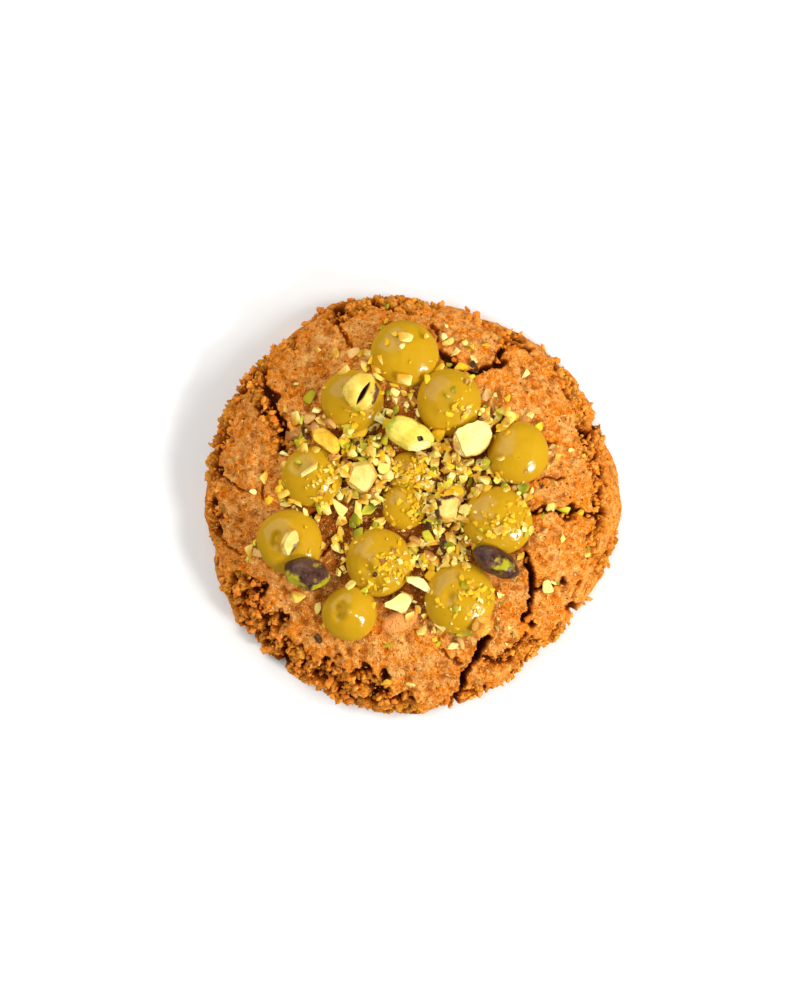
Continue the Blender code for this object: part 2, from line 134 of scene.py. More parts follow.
CAD_ROOM = 0.02  # seen from above, the crust stays this far inside the solid's box


def lumps(points, size, shift=(0, 0, 0)):
    """Smooth noise from -1 to 1 at points in mm, with lumps of that size."""
    return np.array([noise.noise(point) for point in (points / size + np.array(shift)).tolist()])


def pebbles(points, size):
    """1 on top of each of a heap of rounded grains, and 0 in the seams between them."""
    reach = [noise.voronoi(point)[0][:2] for point in (points / size).tolist()]
    nearest, second = np.array(reach).T
    return np.clip((second - nearest) * 2.0, 0, 1) ** 0.6


def ease(low, high, value):
    share = np.clip((value - low) / (high - low), 0, 1)
    return share * share * (3 - 2 * share)


def outline_radius(angle):
    radius = RADIUS
    for waves, height, crest in OUTLINE_WAVES:
        radius += height * math.cos(waves * (angle - math.radians(crest)))
    reach = RADIUS / RAGGED_SCALE
    return radius + RAGGED * noise.noise(Vector((reach * math.cos(angle), reach * math.sin(angle), 0.5)))


def top_height(x, y):
    distance = math.hypot(x, y)
    share = min(1.0, distance / outline_radius(math.atan2(y, x)))
    dome = WIDEST_AT + (HEIGHT - WIDEST_AT) * math.sqrt(1 - share**SHOULDER)
    return dome - DIP * math.exp(-((distance / DIP_REACH) ** 2))


def route_distance(x, y, route):
    best = np.full(len(x), np.inf)
    for (ax, ay), (bx, by) in zip(route, route[1:]):
        dx, dy = bx - ax, by - ay
        along = np.clip(((x - ax) * dx + (y - ay) * dy) / (dx * dx + dy * dy), 0, 1)
        best = np.minimum(best, np.hypot(x - ax - along * dx, y - ay - along * dy))
    return best


def sunk_share(distance, half_width):
    return np.clip(1 - (distance / half_width) ** 2, 0, 1) ** CRACK_WALL


def stitched(first, second):
    """Triangles between two rings of corner numbers that both start on the +X side."""
    faces, i, j = [], 0, 0
    while i < len(first) or j < len(second):
        here, there = first[i % len(first)], second[j % len(second)]
        if (j + 1) / len(second) <= (i + 1) / len(first):
            j += 1
            faces.append((here, there, second[j % len(second)]))
        else:
            i += 1
            faces.append((here, there, first[i % len(first)]))
    return faces


def section_stations():
    """(share of the radius, height, mesh spacing) from the middle of the top, over the rim, to the middle of
    the foot."""
    turn = np.linspace(0, math.pi / 2, 400)
    shares = np.sin(turn) ** (2 / SHOULDER)
    heights = WIDEST_AT + (HEIGHT - WIDEST_AT) * np.cos(turn)
    down = np.linspace(0, 1, 20)[1:]
    shares = np.concatenate([shares, 1 - FOOT_TUCK * down**2])
    heights = np.concatenate([heights, WIDEST_AT * (1 - down)])
    length = np.concatenate([[0], np.cumsum(np.hypot(np.diff(shares * RADIUS), np.diff(heights)))])
    stations, walked = [], 1.2
    while walked < length[-1] - 0.5 * CRUST_PITCH:
        share, height = np.interp(walked, length, shares), np.interp(walked, length, heights)
        pitch = HIDDEN_PITCH if share * RADIUS < HIDDEN_RADIUS else CRUST_PITCH
        stations.append((share, height, pitch))
        walked += pitch
    foot_share = 1 - FOOT_TUCK
    stations.append((foot_share, 0.0, CRUST_PITCH))
    rings = int(foot_share * RADIUS / FOOT_PITCH)
    for ring in range(1, rings):
        stations.append((foot_share * (1 - ring / rings), 0.0, FOOT_PITCH))
    return stations


def cookie_form():
    """Points in mm of the smooth closed form, its faces, and how far out each point lies as a share."""
    points, shares, rings = [], [], []
    for share, height, pitch in section_stations():
        count = max(8, round(math.tau * share * RADIUS / pitch))
        rings.append(range(len(points), len(points) + count))
        for corner in range(count):
            angle = math.tau * corner / count
            radius = share * outline_radius(angle)
            sag = DIP * math.exp(-((radius / DIP_REACH) ** 2)) if height > WIDEST_AT else 0.0
            points.append((radius * math.cos(angle), radius * math.sin(angle), height - sag))
            shares.append(share)
    faces = [tuple(rings[0])]
    for first, second in zip(rings, rings[1:]):
        faces += stitched(first, second)
    faces.append(tuple(reversed(rings[-1])))
    return np.array(points), faces, np.array(shares)


def new_piece(name, points, faces, marks=None):
    """An object from points in mm, with each of marks as a named value at its points."""
    mesh = bpy.data.meshes.new(name)
    mesh.from_pydata((np.asarray(points) * MM).tolist(), [], faces)
    for mark, values in (marks or {}).items():
        values = np.broadcast_to(values, len(points)).astype(np.float32)
        mesh.attributes.new(mark, "FLOAT", "POINT").data.foreach_set("value", values)
    mesh.shade_smooth()
    piece = bpy.data.objects.new(name, mesh)
    bpy.context.scene.collection.objects.link(piece)
    return piece


def point_normals(piece):
    normals = np.zeros(3 * len(piece.data.vertices), np.float32)
    piece.data.vertex_normals.foreach_get("vector", normals)
    return normals.reshape(-1, 3)


def crust_relief(points, shares):
    """How far the crust stands above the smooth form, and the marks that colour it."""
    x, y = points[:, 0].copy(), points[:, 1].copy()
    for reach, length in ROUTE_WANDER:
        x += reach * lumps(points, length, (7, 0, 0))
        y += reach * lumps(points, length, (0, 7, 0))
    high, length = CRACK_SWING
    swing = 1 + high * lumps(points, length, (4, 4, 4))
    angle = np.arctan2(points[:, 1], points[:, 0])
    crackly_side = 0.5 - 0.5 * np.cos(angle - SMOOTH_HEADING)
    rim = ease(0.92, 0.99, shares) * (0.3 + crackly_side) * (0.25 + 1.3 * lumps(points, 7, (3, 3, 3)))
    band = np.max([1 - route_distance(x, y, route) / wide for wide, route in CRUMB_BANDS], axis=0)
    high, length = BAND_RAGS
    band += high * lumps(points, length, (6, 2, 6))
    crumb = ease(0.05, 0.35, np.maximum(band, rim))
    distances = [route_distance(x, y, route) for wide, depth, route in CRACKS]
    cracks = np.max([depth * sunk_share(away, wide * swing)
                     for away, (wide, depth, route) in zip(distances, CRACKS)], axis=0)
    hollows = [sunk_share(np.hypot(x - hx, y - hy), HOLLOW_HALF_WIDTH * swing) for hx, hy in HOLLOWS]
    cracks = np.maximum(cracks, HOLLOW_DEPTH * np.max(hollows, axis=0))
    hairline = np.min([route_distance(x, y, route) for route in HAIRLINES], axis=0)
    cracks = np.maximum(cracks, HAIRLINE_DEPTH * sunk_share(hairline, HAIRLINE_HALF_WIDTH * swing))
    crack_edge = np.min([away - wide for away, (wide, depth, route) in zip(distances, CRACKS)], axis=0)
    edge = np.minimum(np.minimum(crack_edge, hairline), np.maximum(0, -band) * 3.0)
    lip = np.exp(-((np.maximum(edge, 0) / LIP_REACH) ** 2)) * (1 - crumb)

    cx, cy, half_length, half_width, heading, height = SUNKEN_NUT
    turn = math.radians(heading)
    dx, dy = points[:, 0] - cx, points[:, 1] - cy
    along = (dx * math.cos(turn) + dy * math.sin(turn)) / half_length
    across = (dy * math.cos(turn) - dx * math.sin(turn)) / half_width
    nut = np.sqrt(np.clip(1 - along**2 - across**2, 0, 1)) * (points[:, 2] > WIDEST_AT)

    calm = (1 - 0.95 * nut) * (1 - 0.5 * ease(0.93, 1.0, shares))  # the side is smoother than the top
    swells = sum(high * lumps(points, size) for high, size in CRUST_SWELLS)
    rough = sum(high * lumps(points, size) for high, size in CRUST_LUMPS)
    high, size = CRUST_CREASES
    rough += high * (0.4 - 2 * np.abs(lumps(points, size, (2, 2, 2))))
    high, size = CRUST_GRAINS
    rough += high * (pebbles(points, size) - 0.5) * (0.6 + lip)
    pull, length = CRUMB_TWIST
    ways = [pull * lumps(points, length, shift) for shift in ((5, 0, 0), (0, 5, 0), (0, 0, 5))]
    twisted = points + np.stack(ways, axis=1)
    grains = sum(high * (pebbles(twisted, size) - 0.5) for high, size in CRUMB_LUMPS)
    least, most = 0.1 - 0.22 * crackly_side, 0.4 - 0.16 * crackly_side  # most pores on the rough side
    pores = ease(least, most, lumps(points, PORE_SIZE, (9, 1, 4))) * crumb
    relief = (swells + rough * (1 + 0.5 * crackly_side - 0.5 * crumb)) * calm
    relief += crumb * (grains - CRUMB_SINK + 0.6)
    relief += LIP * lip - cracks - PORE_DEPTH * pores + height * nut
    seams = crumb * np.clip(0.1 - grains, 0, 1)
    foot = ease(FOOT_BROWNING, 0.2, points[:, 2])
    rim_toast = 0.7 * lip * (1 - foot) + 0.5 * ease(0.88, 1.0, shares)
    patches, length = TOAST_PATCHES
    from_middle = np.hypot(points[:, 0], points[:, 1]) + 6 * lumps(points, 7, (1, 1, 1))
    marks = {
        "crumb": crumb,
        # painted shade: darker in the cracks, the pores and the seams between crumb grains
        "pit_shade": np.clip(cracks / 2.2 + 0.8 * pores + 0.45 * seams, 0, 1),
        # painted shade in the low parts of the relief and between crumb grains
        "hollow_shade": np.clip((1 - crumb) * ease(0.0, 0.5, -rough) + crumb * np.clip(0.6 - grains, 0, 1), 0, 1),
        # darker towards the middle, under and between the toppings: partly browning, partly painted shade
        "middle": ease(BROWNED_AND_SHADED_FROM, BROWNED_AND_SHADED_FULLY, from_middle),
        "toast": np.clip(rim_toast + patches * lumps(points, length, (5, 5, 5)), 0, 1),
        "nut": ease(0, 0.5, nut),
    }
    for name in ("crumb", "pit_shade", "hollow_shade", "middle"):
        marks[name] = marks[name] * (1 - foot)
    return relief, {**marks, "foot": foot}


cookie_points, cookie_faces, cookie_shares = cookie_form()
cookie = new_piece("baked_cookie", cookie_points, cookie_faces)
relief, cookie_marks = crust_relief(cookie_points, cookie_shares)
move = point_normals(cookie) * relief[:, None]
move[:, 2] *= np.clip(cookie_points[:, 2] / WIDEST_AT, 0, 1)
underside = cookie_points[:, 2] < 0.001
tray_pits = TRAY_PITS * np.clip(lumps(cookie_points, 3.0, (2, 8, 5)) + 0.5 * lumps(cookie_points, 1.6), 0, 1)
move[underside] *= (cookie_shares[underside] >= 1 - FOOT_TUCK)[:, None]
move[underside, 2] = tray_pits[underside] * (cookie_shares[underside] < 1 - FOOT_TUCK)
cookie_points = cookie_points + move
least, most = np.array(cad_low)[:2] / MM + CAD_ROOM, np.array(cad_high)[:2] / MM - CAD_ROOM
cookie_points[:, :2] = np.clip(cookie_points[:, :2], least, most)
bpy.data.objects.remove(cookie, do_unlink=True)
cookie = new_piece("baked_cookie", cookie_points, cookie_faces, cookie_marks)


def paint(code):
    """An sRGB hex colour as the linear one that the shaders take."""
    channels = [int(code[i : i + 2], 16) / 255 for i in (1, 3, 5)]
    return (*(c / 12.92 if c <= 0.04045 else ((c + 0.055) / 1.055) ** 2.4 for c in channels), 1.0)


def set_sockets(tree, node, sockets):
    """Each value is a node, whose first output gets linked, or one of its outputs, or a plain value."""
    for name, value in sockets.items():
        if isinstance(value, bpy.types.Node):
            value = value.outputs[0]
        if isinstance(value, bpy.types.NodeSocket):
            tree.links.new(value, node.inputs[name])
        else:
            node.inputs[name].default_value = value


def add(tree, kind, sockets=None, **settings):
    """Adds a shader node with its settings and links."""
    made = tree.nodes.new("ShaderNode" + kind)
    for name, value in settings.items():
        setattr(made, name, value)
    set_sockets(tree, made, sockets or {})
    return made


def new_material(name):
    material = bpy.data.materials.new(name)
    material.use_nodes = True
    tree = material.node_tree
    return material, tree, tree.nodes["Principled BSDF"], add(tree, "TexCoord").outputs["Object"]


def baked_dough():
    """Short dough baked to a dry crust: matt, grainy and a little translucent, with pinpricks and pale flaky
    creases. Its plates are orange with tan clouds, and darker brown under and between the nuts, partly from
    browning and partly as painted shade. Where they are low, painted shade makes them redder and darker.
    Broken crumb is golden; cracks, pores and the seams of the crumb hold painted shade from red brown to
    nearly black, and the pinpricks hold painted shade too. The nut baked into it is smooth and tan, and the
    foot is an even tray brown."""
    material, tree, shader, place = new_material("baked_dough")
    mark = {name: add(tree, "Attribute", attribute_name=name).outputs["Fac"] for name in cookie_marks}
    clouds, speckle, grain, wrinkle = (
        add(tree, "TexNoise", {"Vector": place, "Scale": 1 / (size * MM), "Detail": detail,
                               "Roughness": rough})
        for size, detail, rough in ((4.5, 5, 0.7), (1.3, 3, 0.75), (0.45, 2, 0.6), (1.5, 1, 0.5)))
    from_crease = add(tree, "Math", {0: wrinkle, 1: 0.5}, operation="SUBTRACT")
    crease = add(tree, "Math", {0: from_crease}, operation="ABSOLUTE")
    holes = add(tree, "TexVoronoi", {"Vector": place, "Scale": 1 / (2.1 * MM)})
    tray_brown = add(tree, "MixRGB", {"Fac": mark["toast"], "Color1": paint("#B87028"),
                                      "Color2": paint("#8E4A14")})
    share = {}
    for name, value, least, most, top in (
        ("tan clouds", clouds, 0.44, 0.6, 1.0),
        ("creases", crease, 0.07, 0.01, 0.6),
        ("low", mark["hollow_shade"], 0.0, 1.0, 0.8),
        ("flakes", speckle, 0.55, 0.66, 0.7),
        ("scorched", speckle, 0.46, 0.35, 0.8),
        ("pinpricks", holes, 0.15, 0.07, 1.0),
        ("nut", mark["nut"], 0.0, 1.0, 0.8),
        ("red crack shade", mark["pit_shade"], 0.0, 0.5, 1.0),
        ("dark crack shade", mark["pit_shade"], 0.4, 0.9, 1.0),
    ):
        share[name] = add(tree, "MapRange", {"Value": value, "From Min": least, "From Max": most,
                                             "To Max": top})
    colour = paint("#E47A0E")
    for how_much, over in (
        (share["tan clouds"], paint("#F4B060")),
        (mark["toast"], paint("#EE800E")),
        (share["creases"], paint("#FFB450")),
        # darker brown under and between the nuts: partly browning, partly painted shade
        (mark["middle"], paint("#8A4812")),
        (mark["crumb"], paint("#F4A02E")),
        # painted shade, redder and darker, where the crust is low
        (share["low"], paint("#B05C12")),
        (share["flakes"], paint("#FFC870")),
        (share["scorched"], paint("#B2540A")),
        (mark["foot"], tray_brown),
        # painted shade inside the pinpricks
        (share["pinpricks"], paint("#7A3208")),
        (share["nut"], paint("#F4A458")),
        # painted shade in the cracks, pores and crumb seams: red brown, then nearly black
        (share["red crack shade"], paint("#9C4406")),
        (share["dark crack shade"], paint("#4A1C04")),
    ):
        colour = add(tree, "MixRGB", {"Fac": how_much, "Color1": colour, "Color2": over})
    smooth_nut = add(tree, "MapRange", {"Value": mark["nut"], "To Min": 1.0, "To Max": 0.2})
    relief = add(tree, "Bump", {"Height": speckle, "Strength": smooth_nut, "Distance": 1.2 * MM})
    for height, distance, sunk in ((grain, 0.25, False), (share["creases"], 0.3, False),
                                   (share["pinpricks"], 0.3, True)):
        relief = add(tree, "Bump", {"Height": height, "Distance": distance * MM, "Normal": relief},
                     invert=sunk)
    set_sockets(tree, shader, {
        "Base Color": colour, "Roughness": 0.75, "IOR": 1.4,
        "Specular IOR Level": 0.1,  # its pores swallow most of the shine
        "Subsurface Weight": 0.15, "Subsurface Radius": (1.8, 0.7, 0.15), "Subsurface Scale": MM,
        "Normal": relief,
    })
    return material


dough = baked_dough()
cookie.data.materials.append(dough)
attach(cookie, "root")
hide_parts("cookie")


# ---- The loose crumbs ---------------------------------------------------------------------------------
# Bits of the same dough that came off its broken edges. They lie in the crumb bands, in the cracks and
# round the rim, stuck on by butter and sugar, and fine dry flakes dust the plates.

CRUMBS, CRUMB_SMALLEST, CRUMB_LARGEST = 1900, 0.5, 2.3
FLAKES, FLAKE_SMALLEST, FLAKE_LARGEST = 2800, 0.5, 1.8
CRUMB_SHAPES = 14
FLAKE_CORNERS = 7
CRUMB_REACH = 56.8  # none lies further out than the rim itself
CRACK_CRUMBS, STRAY_CRUMBS = 0.25, 0.006  # how thick they lie there, where 1 is in the crumb bands


def taken_from(shape):
    """The points and faces of a bmesh, which is freed."""
    points = np.array([vertex.co for vertex in shape.verts])
    faces = [tuple(vertex.index for vertex in face.verts) for face in shape.faces]
    shape.free()
    return points, faces


def ball(subdivisions, radius):
    shape = bmesh.new()
    bmesh.ops.create_icosphere(shape, subdivisions=subdivisions, radius=radius)
    return taken_from(shape)


def hull(corners):
    shape = bmesh.new()
    for corner in corners:
        shape.verts.new(corner)
    bmesh.ops.convex_hull(shape, input=shape.verts)
    bmesh.ops.delete(shape, geom=[v for v in shape.verts if not v.link_faces], context="VERTS")
    return shape


def crumb_shapes(count):
    """Lumpy little balls of unit width."""
    made = []
    for number in range(count):
        points, faces = ball(2, 0.5)
        points *= (1 + 1.1 * lumps(points, 0.4, (number, 0, 0)))[:, None] * (1.0, 0.8, 0.7)
        made.append((points, faces, np.zeros(len(points))))
    return made


def flake_shapes(count):
    """Thin crooked chips of unit width with a few corners."""
    dice = random.Random(8)
    made = []
    for _ in range(count):
        ways = [Vector([dice.gauss(0, 1) for axis in range(3)]).normalized()
                for corner in range(FLAKE_CORNERS)]
        shape = hull((0.5 * way.x, 0.17 * way.y, 0.1 * way.z) for way in ways)
        shape.verts.index_update()
        points, faces = taken_from(shape)
        made.append((points, faces, np.zeros(len(points))))
    return made


def heap_piece(name, shapes, laid):
    """One mesh of many small things. Each of laid is (shape number, 3x3 matrix, place, tint)."""
    points, faces, outers, tints, count = [], [], [], [], 0
    for number, turn, place, tint in laid:
        corners, sides, outer = shapes[number]
        points.append(corners @ np.asarray(turn).T + np.asarray(place))
        faces += [tuple(corner + count for corner in side) for side in sides]
        outers.append(outer)
        tints.append(np.full(len(corners), tint))
        count += len(corners)
    return new_piece(name, np.concatenate(points), faces,
                     {"outer": np.concatenate(outers), "tint": np.concatenate(tints)})


def strewn(weights, count, smallest, largest, rise, flat, seed):
    """Places on the crust's own points, drawn by their weights: more small things than large ones. Flat ones
    lie along the crust, and others any way up."""
    dice = random.Random(seed)
    chosen = dice.choices(range(len(cookie_points)), weights=weights.tolist(), k=count)
    laid = []
    for number, spot in enumerate(chosen):
        size = smallest + (largest - smallest) * dice.random() ** 2.5
        turn = Euler([dice.uniform(0, math.tau) for axis in range(3)]).to_matrix()
        if flat:
            up = Vector(cookie_normals[spot])
            turn = Matrix.Rotation(dice.uniform(0, math.tau), 3, "Z")
            turn = Vector((0, 0, 1)).rotation_difference(up).to_matrix() @ turn
        place = cookie_points[spot] + cookie_normals[spot] * size * rise
        if np.any(np.abs(place[:2]) > CRUMB_REACH - 0.7 * size):
            continue
        laid.append((number % CRUMB_SHAPES, np.array(turn @ Matrix.Scale(size, 3)), place, dice.random()))
    return laid


def loose_dough(name, light, dark):
    """Crumbs of the same baked dough, dry and matt: golden inside, browner where the oven reached them."""
    material, tree, shader, place = new_material(name)
    tint = add(tree, "Attribute", attribute_name="tint").outputs["Fac"]
    speckle = add(tree, "TexNoise", {"Vector": place, "Scale": 1 / (0.6 * MM), "Detail": 3})
    body = add(tree, "MixRGB", {"Fac": tint, "Color1": paint(light), "Color2": paint(dark)})
    dim = add(tree, "MapRange", {"Value": speckle, "From Min": 0.48, "From Max": 0.34, "To Max": 0.5})
    spotted = add(tree, "MixRGB", {"Fac": dim, "Color1": body, "Color2": paint("#C0600E")})
    rough = add(tree, "Bump", {"Height": speckle, "Distance": 0.3 * MM})
    set_sockets(tree, shader, {"Base Color": spotted, "Roughness": 0.75, "IOR": 1.4, "Normal": rough})
    return material


cookie_normals = point_normals(cookie)
upright = np.clip(cookie_points[:, 2] / 3 - 0.4, 0, 1) * (cookie_shares > 0.3)
crumbled = cookie_marks["crumb"] + CRACK_CRUMBS * (cookie_marks["pit_shade"] > 0.3) + STRAY_CRUMBS
loose = strewn(crumbled * upright, CRUMBS, CRUMB_SMALLEST, CRUMB_LARGEST, rise=0.12, flat=False, seed=3)
crumbs = heap_piece("loose_crumbs", crumb_shapes(CRUMB_SHAPES), loose)
crumbs.data.materials.append(loose_dough("crumb_dough", "#FFAA40", "#E87C10"))
unbroken = 1 - cookie_marks["pit_shade"]
dust = strewn(unbroken * upright, FLAKES, FLAKE_SMALLEST, FLAKE_LARGEST, rise=0.03, flat=True, seed=4)
flakes = heap_piece("crust_flakes", flake_shapes(CRUMB_SHAPES), dust)
flakes.data.materials.append(loose_dough("flaked_crust", "#FFD084", "#F89A38"))
for piece in (crumbs, flakes):
    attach(piece, "root")


# ---- The cream kisses ---------------------------------------------------------------------------------
# Pistachio cream, a smooth glossy spread of nut paste and white chocolate, piped from a round nozzle.
# Each kiss slumped to a low dome, and its tip fell over to one side when the bag was lifted.

KISSES = (  # x, y, radius, height, heading of the leaning tip
    (-2.2, 40.5, 9.3, 8.0, 120),
    (-16.3, 27.8, 8.7, 7.6, 60),
    (9.6, 27.6, 9.0, 7.8, 30),
    (28.4, 13.8, 8.5, 7.4, 200),
    (-27.2, 7.5, 8.4, 7.2, 45),
    (-2.2, -0.8, 6.3, 5.4, 90),
    (22.8, -4.6, 9.5, 8.2, 150),
    (-33.2, -10.3, 9.0, 7.6, 170),
    (-9.2, -15.7, 9.3, 8.0, 140),
    (12.6, -25.3, 9.8, 8.0, 200),
    (-17.1, -29.5, 7.6, 7.8, 70),
    (-1.5, 8.7, 5.6, 4.6, 0),
)
KISS_PROFILE = (  # share of the radius, share of the height
    (0.84, 0.0), (0.97, 0.12), (1.0, 0.27), (0.94, 0.47), (0.78, 0.67), (0.50, 0.84), (0.16, 0.94),
    (0.0, 1.0),
)
KISS_SIDES = 80
KISS_SINK = 0.9
TIP_LEAN = 0.16
KISS_SWELLS = ((0.22, 3.6), (0.05, 1.2))  # height, size
KISS_DENTS = {  # kiss number: (x, y) from its middle, half-width, depth, which is negative for a raised tip
    5: ((-4.2, 2.8, 1.0, 0.9),),
    8: ((-3.4, 1.6, 1.3, 1.1), (-3.9, -0.6, 1.2, 0.9), (-1.2, 0.6, 1.8, -0.7)),
    9: ((-2.9, -1.6, 1.2, 1.0), (-1.0, -5.4, 1.1, 0.9), (-1.2, -1.0, 1.6, -0.6)),
    10: ((-2.8, 0.2, 1.5, 1.1), (3.6, 2.2, 1.0, 0.6)),
    11: ((-2.7, 1.4, 1.0, 1.2), (-3.0, -0.8, 1.0, 1.1), (-2.0, 2.8, 1.0, 0.7), (-0.5, 0.3, 1.7, -1.2)),
}


def rounded(corners, times=3):
    """Cuts a line's corners again and again until it is a smooth curve between the same two ends."""
    line = np.array(corners, float)
    for _ in range(times):
        near, far = 0.75 * line[:-1] + 0.25 * line[1:], 0.25 * line[:-1] + 0.75 * line[1:]
        cut = np.stack([near, far], axis=1).reshape(-1, line.shape[1])
        line = np.concatenate([line[:1], cut[1:-1], line[-1:]])
    return line


def kiss_form(number, kiss):
    x, y, radius, height, heading = kiss
    profile = rounded(KISS_PROFILE)
    lean = TIP_LEAN * radius * np.array([math.cos(math.radians(heading)), math.sin(math.radians(heading))])
    angles = np.arange(KISS_SIDES) * math.tau / KISS_SIDES
    wave = 1 + 0.02 * np.cos(2 * angles + number) + 0.015 * np.cos(3 * angles + 2 * number)
    base = top_height(x, y) - KISS_SINK
    points = []
    for share, level in profile[:-1]:
        reach = share * radius * wave
        centre = np.array([x, y]) + lean * level**3
        ring = np.stack([centre[0] + reach * np.cos(angles), centre[1] + reach * np.sin(angles),
                         np.full(KISS_SIDES, base + level * height)], axis=1)
        points.append(ring)
    points = np.concatenate(points)
    rows = len(profile) - 1
    faces = [tuple(reversed(range(KISS_SIDES)))]
    for row in range(rows - 1):
        for side in range(KISS_SIDES):
            after = (side + 1) % KISS_SIDES
            low, high = row * KISS_SIDES, (row + 1) * KISS_SIDES
            faces.append((low + side, low + after, high + after, high + side))
    peak = len(points)
    points = np.concatenate([points, [[x + lean[0], y + lean[1], base + height]]])
    last = (rows - 1) * KISS_SIDES
    faces += [(last + side, last + (side + 1) % KISS_SIDES, peak) for side in range(KISS_SIDES)]
    upper = ease(0.2, 0.6, (points[:, 2] - base) / height)
    for dx, dy, wide, deep in KISS_DENTS.get(number, ()):
        away = np.hypot(points[:, 0] - x - dx, points[:, 1] - y - dy)
        points[:, 2] -= deep * upper * np.exp(-((away / wide) ** 2))
    (large, wide), (small, narrow) = KISS_SWELLS
    swell = large * lumps(points, wide, (number, 0, 0)) + small * lumps(points, narrow, (0, number, 0))
    out = points - np.array([x, y, base])
    out /= np.linalg.norm(out, axis=1)[:, None] + 1e-6
    return points + out * (swell * upper)[:, None], faces


def pistachio_cream():
    """A fat-based nut cream: smooth and soft glossy, a little translucent, with fine specks of ground nut."""
    material, tree, shader, place = new_material("pistachio_cream")
    clouds = add(tree, "TexNoise", {"Vector": place, "Scale": 1 / (6 * MM), "Detail": 3})
    specks = add(tree, "TexNoise", {"Vector": place, "Scale": 1 / (0.7 * MM), "Detail": 2})
    body = add(tree, "MixRGB", {"Fac": clouds, "Color1": paint("#B88A0E"), "Color2": paint("#C99A1C")})
    speck_share = add(tree, "MapRange", {"Value": specks, "From Min": 0.66, "From Max": 0.74,
                                         "To Max": 0.35})
    specked = add(tree, "MixRGB", {"Fac": speck_share, "Color1": body, "Color2": paint("#9C6C04")})
    ripple = add(tree, "Bump", {"Height": specks, "Strength": 0.5, "Distance": 0.06 * MM})
    set_sockets(tree, shader, {
        "Base Color": specked, "Roughness": 0.16, "IOR": 1.46, "Normal": ripple,
        "Subsurface Weight": 0.06, "Subsurface Radius": (2.0, 1.4, 0.3), "Subsurface Scale": MM,
    })
    return material


cream = pistachio_cream()
kiss_shapes = []
for number, kiss in enumerate(KISSES, 1):
    points, faces = kiss_form(number, kiss)
    kiss_shapes.append((points, faces))
    piped = new_piece(f"piped_kiss_{number:02d}", points, faces)
    piped.data.materials.append(cream)
    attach(piped, "root")
    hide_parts(f"cream_kiss_{number:02d}")


# ---- The pistachio kernels ----------------------------------------------------------------------------
# Whole, halved and broken pistachios, laid on by hand. Some are peeled to their yellow green flesh, two
# still wear their thin purple skin, and one piece was rolled in toffee.

KERNELS = (  # name, (x, y), middle above the cookie, (length, width, thickness), (roll, pitch, heading), cuts
    ("kernel_split", (-14, 30.3), 7.9, (11.2, 9.8, 6), (8, 0, 60), ()),
    ("kernel_whole", (-1, 18.8), 6.6, (14, 8.3, 7.6), (0, 4, -27), ()),
    ("kernel_half", (16, 17.6), 5.6, (12, 9.5, 8.4), (-12, 8, 35), (((0, 0, 1), 0.12),)),
    ("kernel_chunk", (-14, 7.6), 3.8, (10, 9, 7), (10, -6, 80),
     (((0, 0, 1), 0.45), ((1, 0.3, 0.2), 0.7), ((-1, 0.5, 0.3), 0.75))),
    ("kernel_broken", (9.5, -1.2), 4.4, (8.5, 8, 7), (-10, 0, 15),
     (((0.3, 0.2, 1), 0.35), ((1, -0.5, 0.4), 0.6))),
    ("kernel_purple_left", (-28.4, -18.8), 4.6, (13, 9, 8), (0, 0, -15), ()),
    ("kernel_purple_right", (22.3, -15.6), 4.8, (14, 7.5, 7.5), (0, 0, -28), ()),
    ("kernel_yellow", (-23.4, 17), 4.2, (9.5, 5.5, 5.5), (20, 0, -45), (((0, 0, 1), 0.5),)),
    ("kernel_toffee", (18.6, -32.8), 5.6, (6.8, 5.8, 5.4), (0, 10, 60), (((1, 0.2, 0.6), 0.6),)),
    ("kernel_slice", (-4, -26.8), 2.6, (8.6, 6.4, 3), (-8, 0, 20), (((0, 0, 1), 0.4),)),
    ("kernel_sliver", (1.8, -21.6), 3.2, (8.6, 4.0, 3.4), (10, 0, -30), (((0, 0, 1), 0.4),)),
    ("kernel_wedge", (-33.2, -10.3), 7.6, (8, 4.8, 4.6), (15, 5, 68), (((0, -0.4, 1), 0.4),)),
)
KERNEL_TAPER = 0.2
BLUNT, KERNEL_BLUNT = 2.6, {"kernel_whole": 4.0}  # how full the ends are: 2 is an ellipse
SPLIT_VALLEY = 0.7  # how deep the split kernel sinks beside its slit
PATCH_EDGE = 0.12  # how softly a patch of skin or green ends
FINELY_MESHED = 10.2  # a kernel longer than this gets one more subdivision
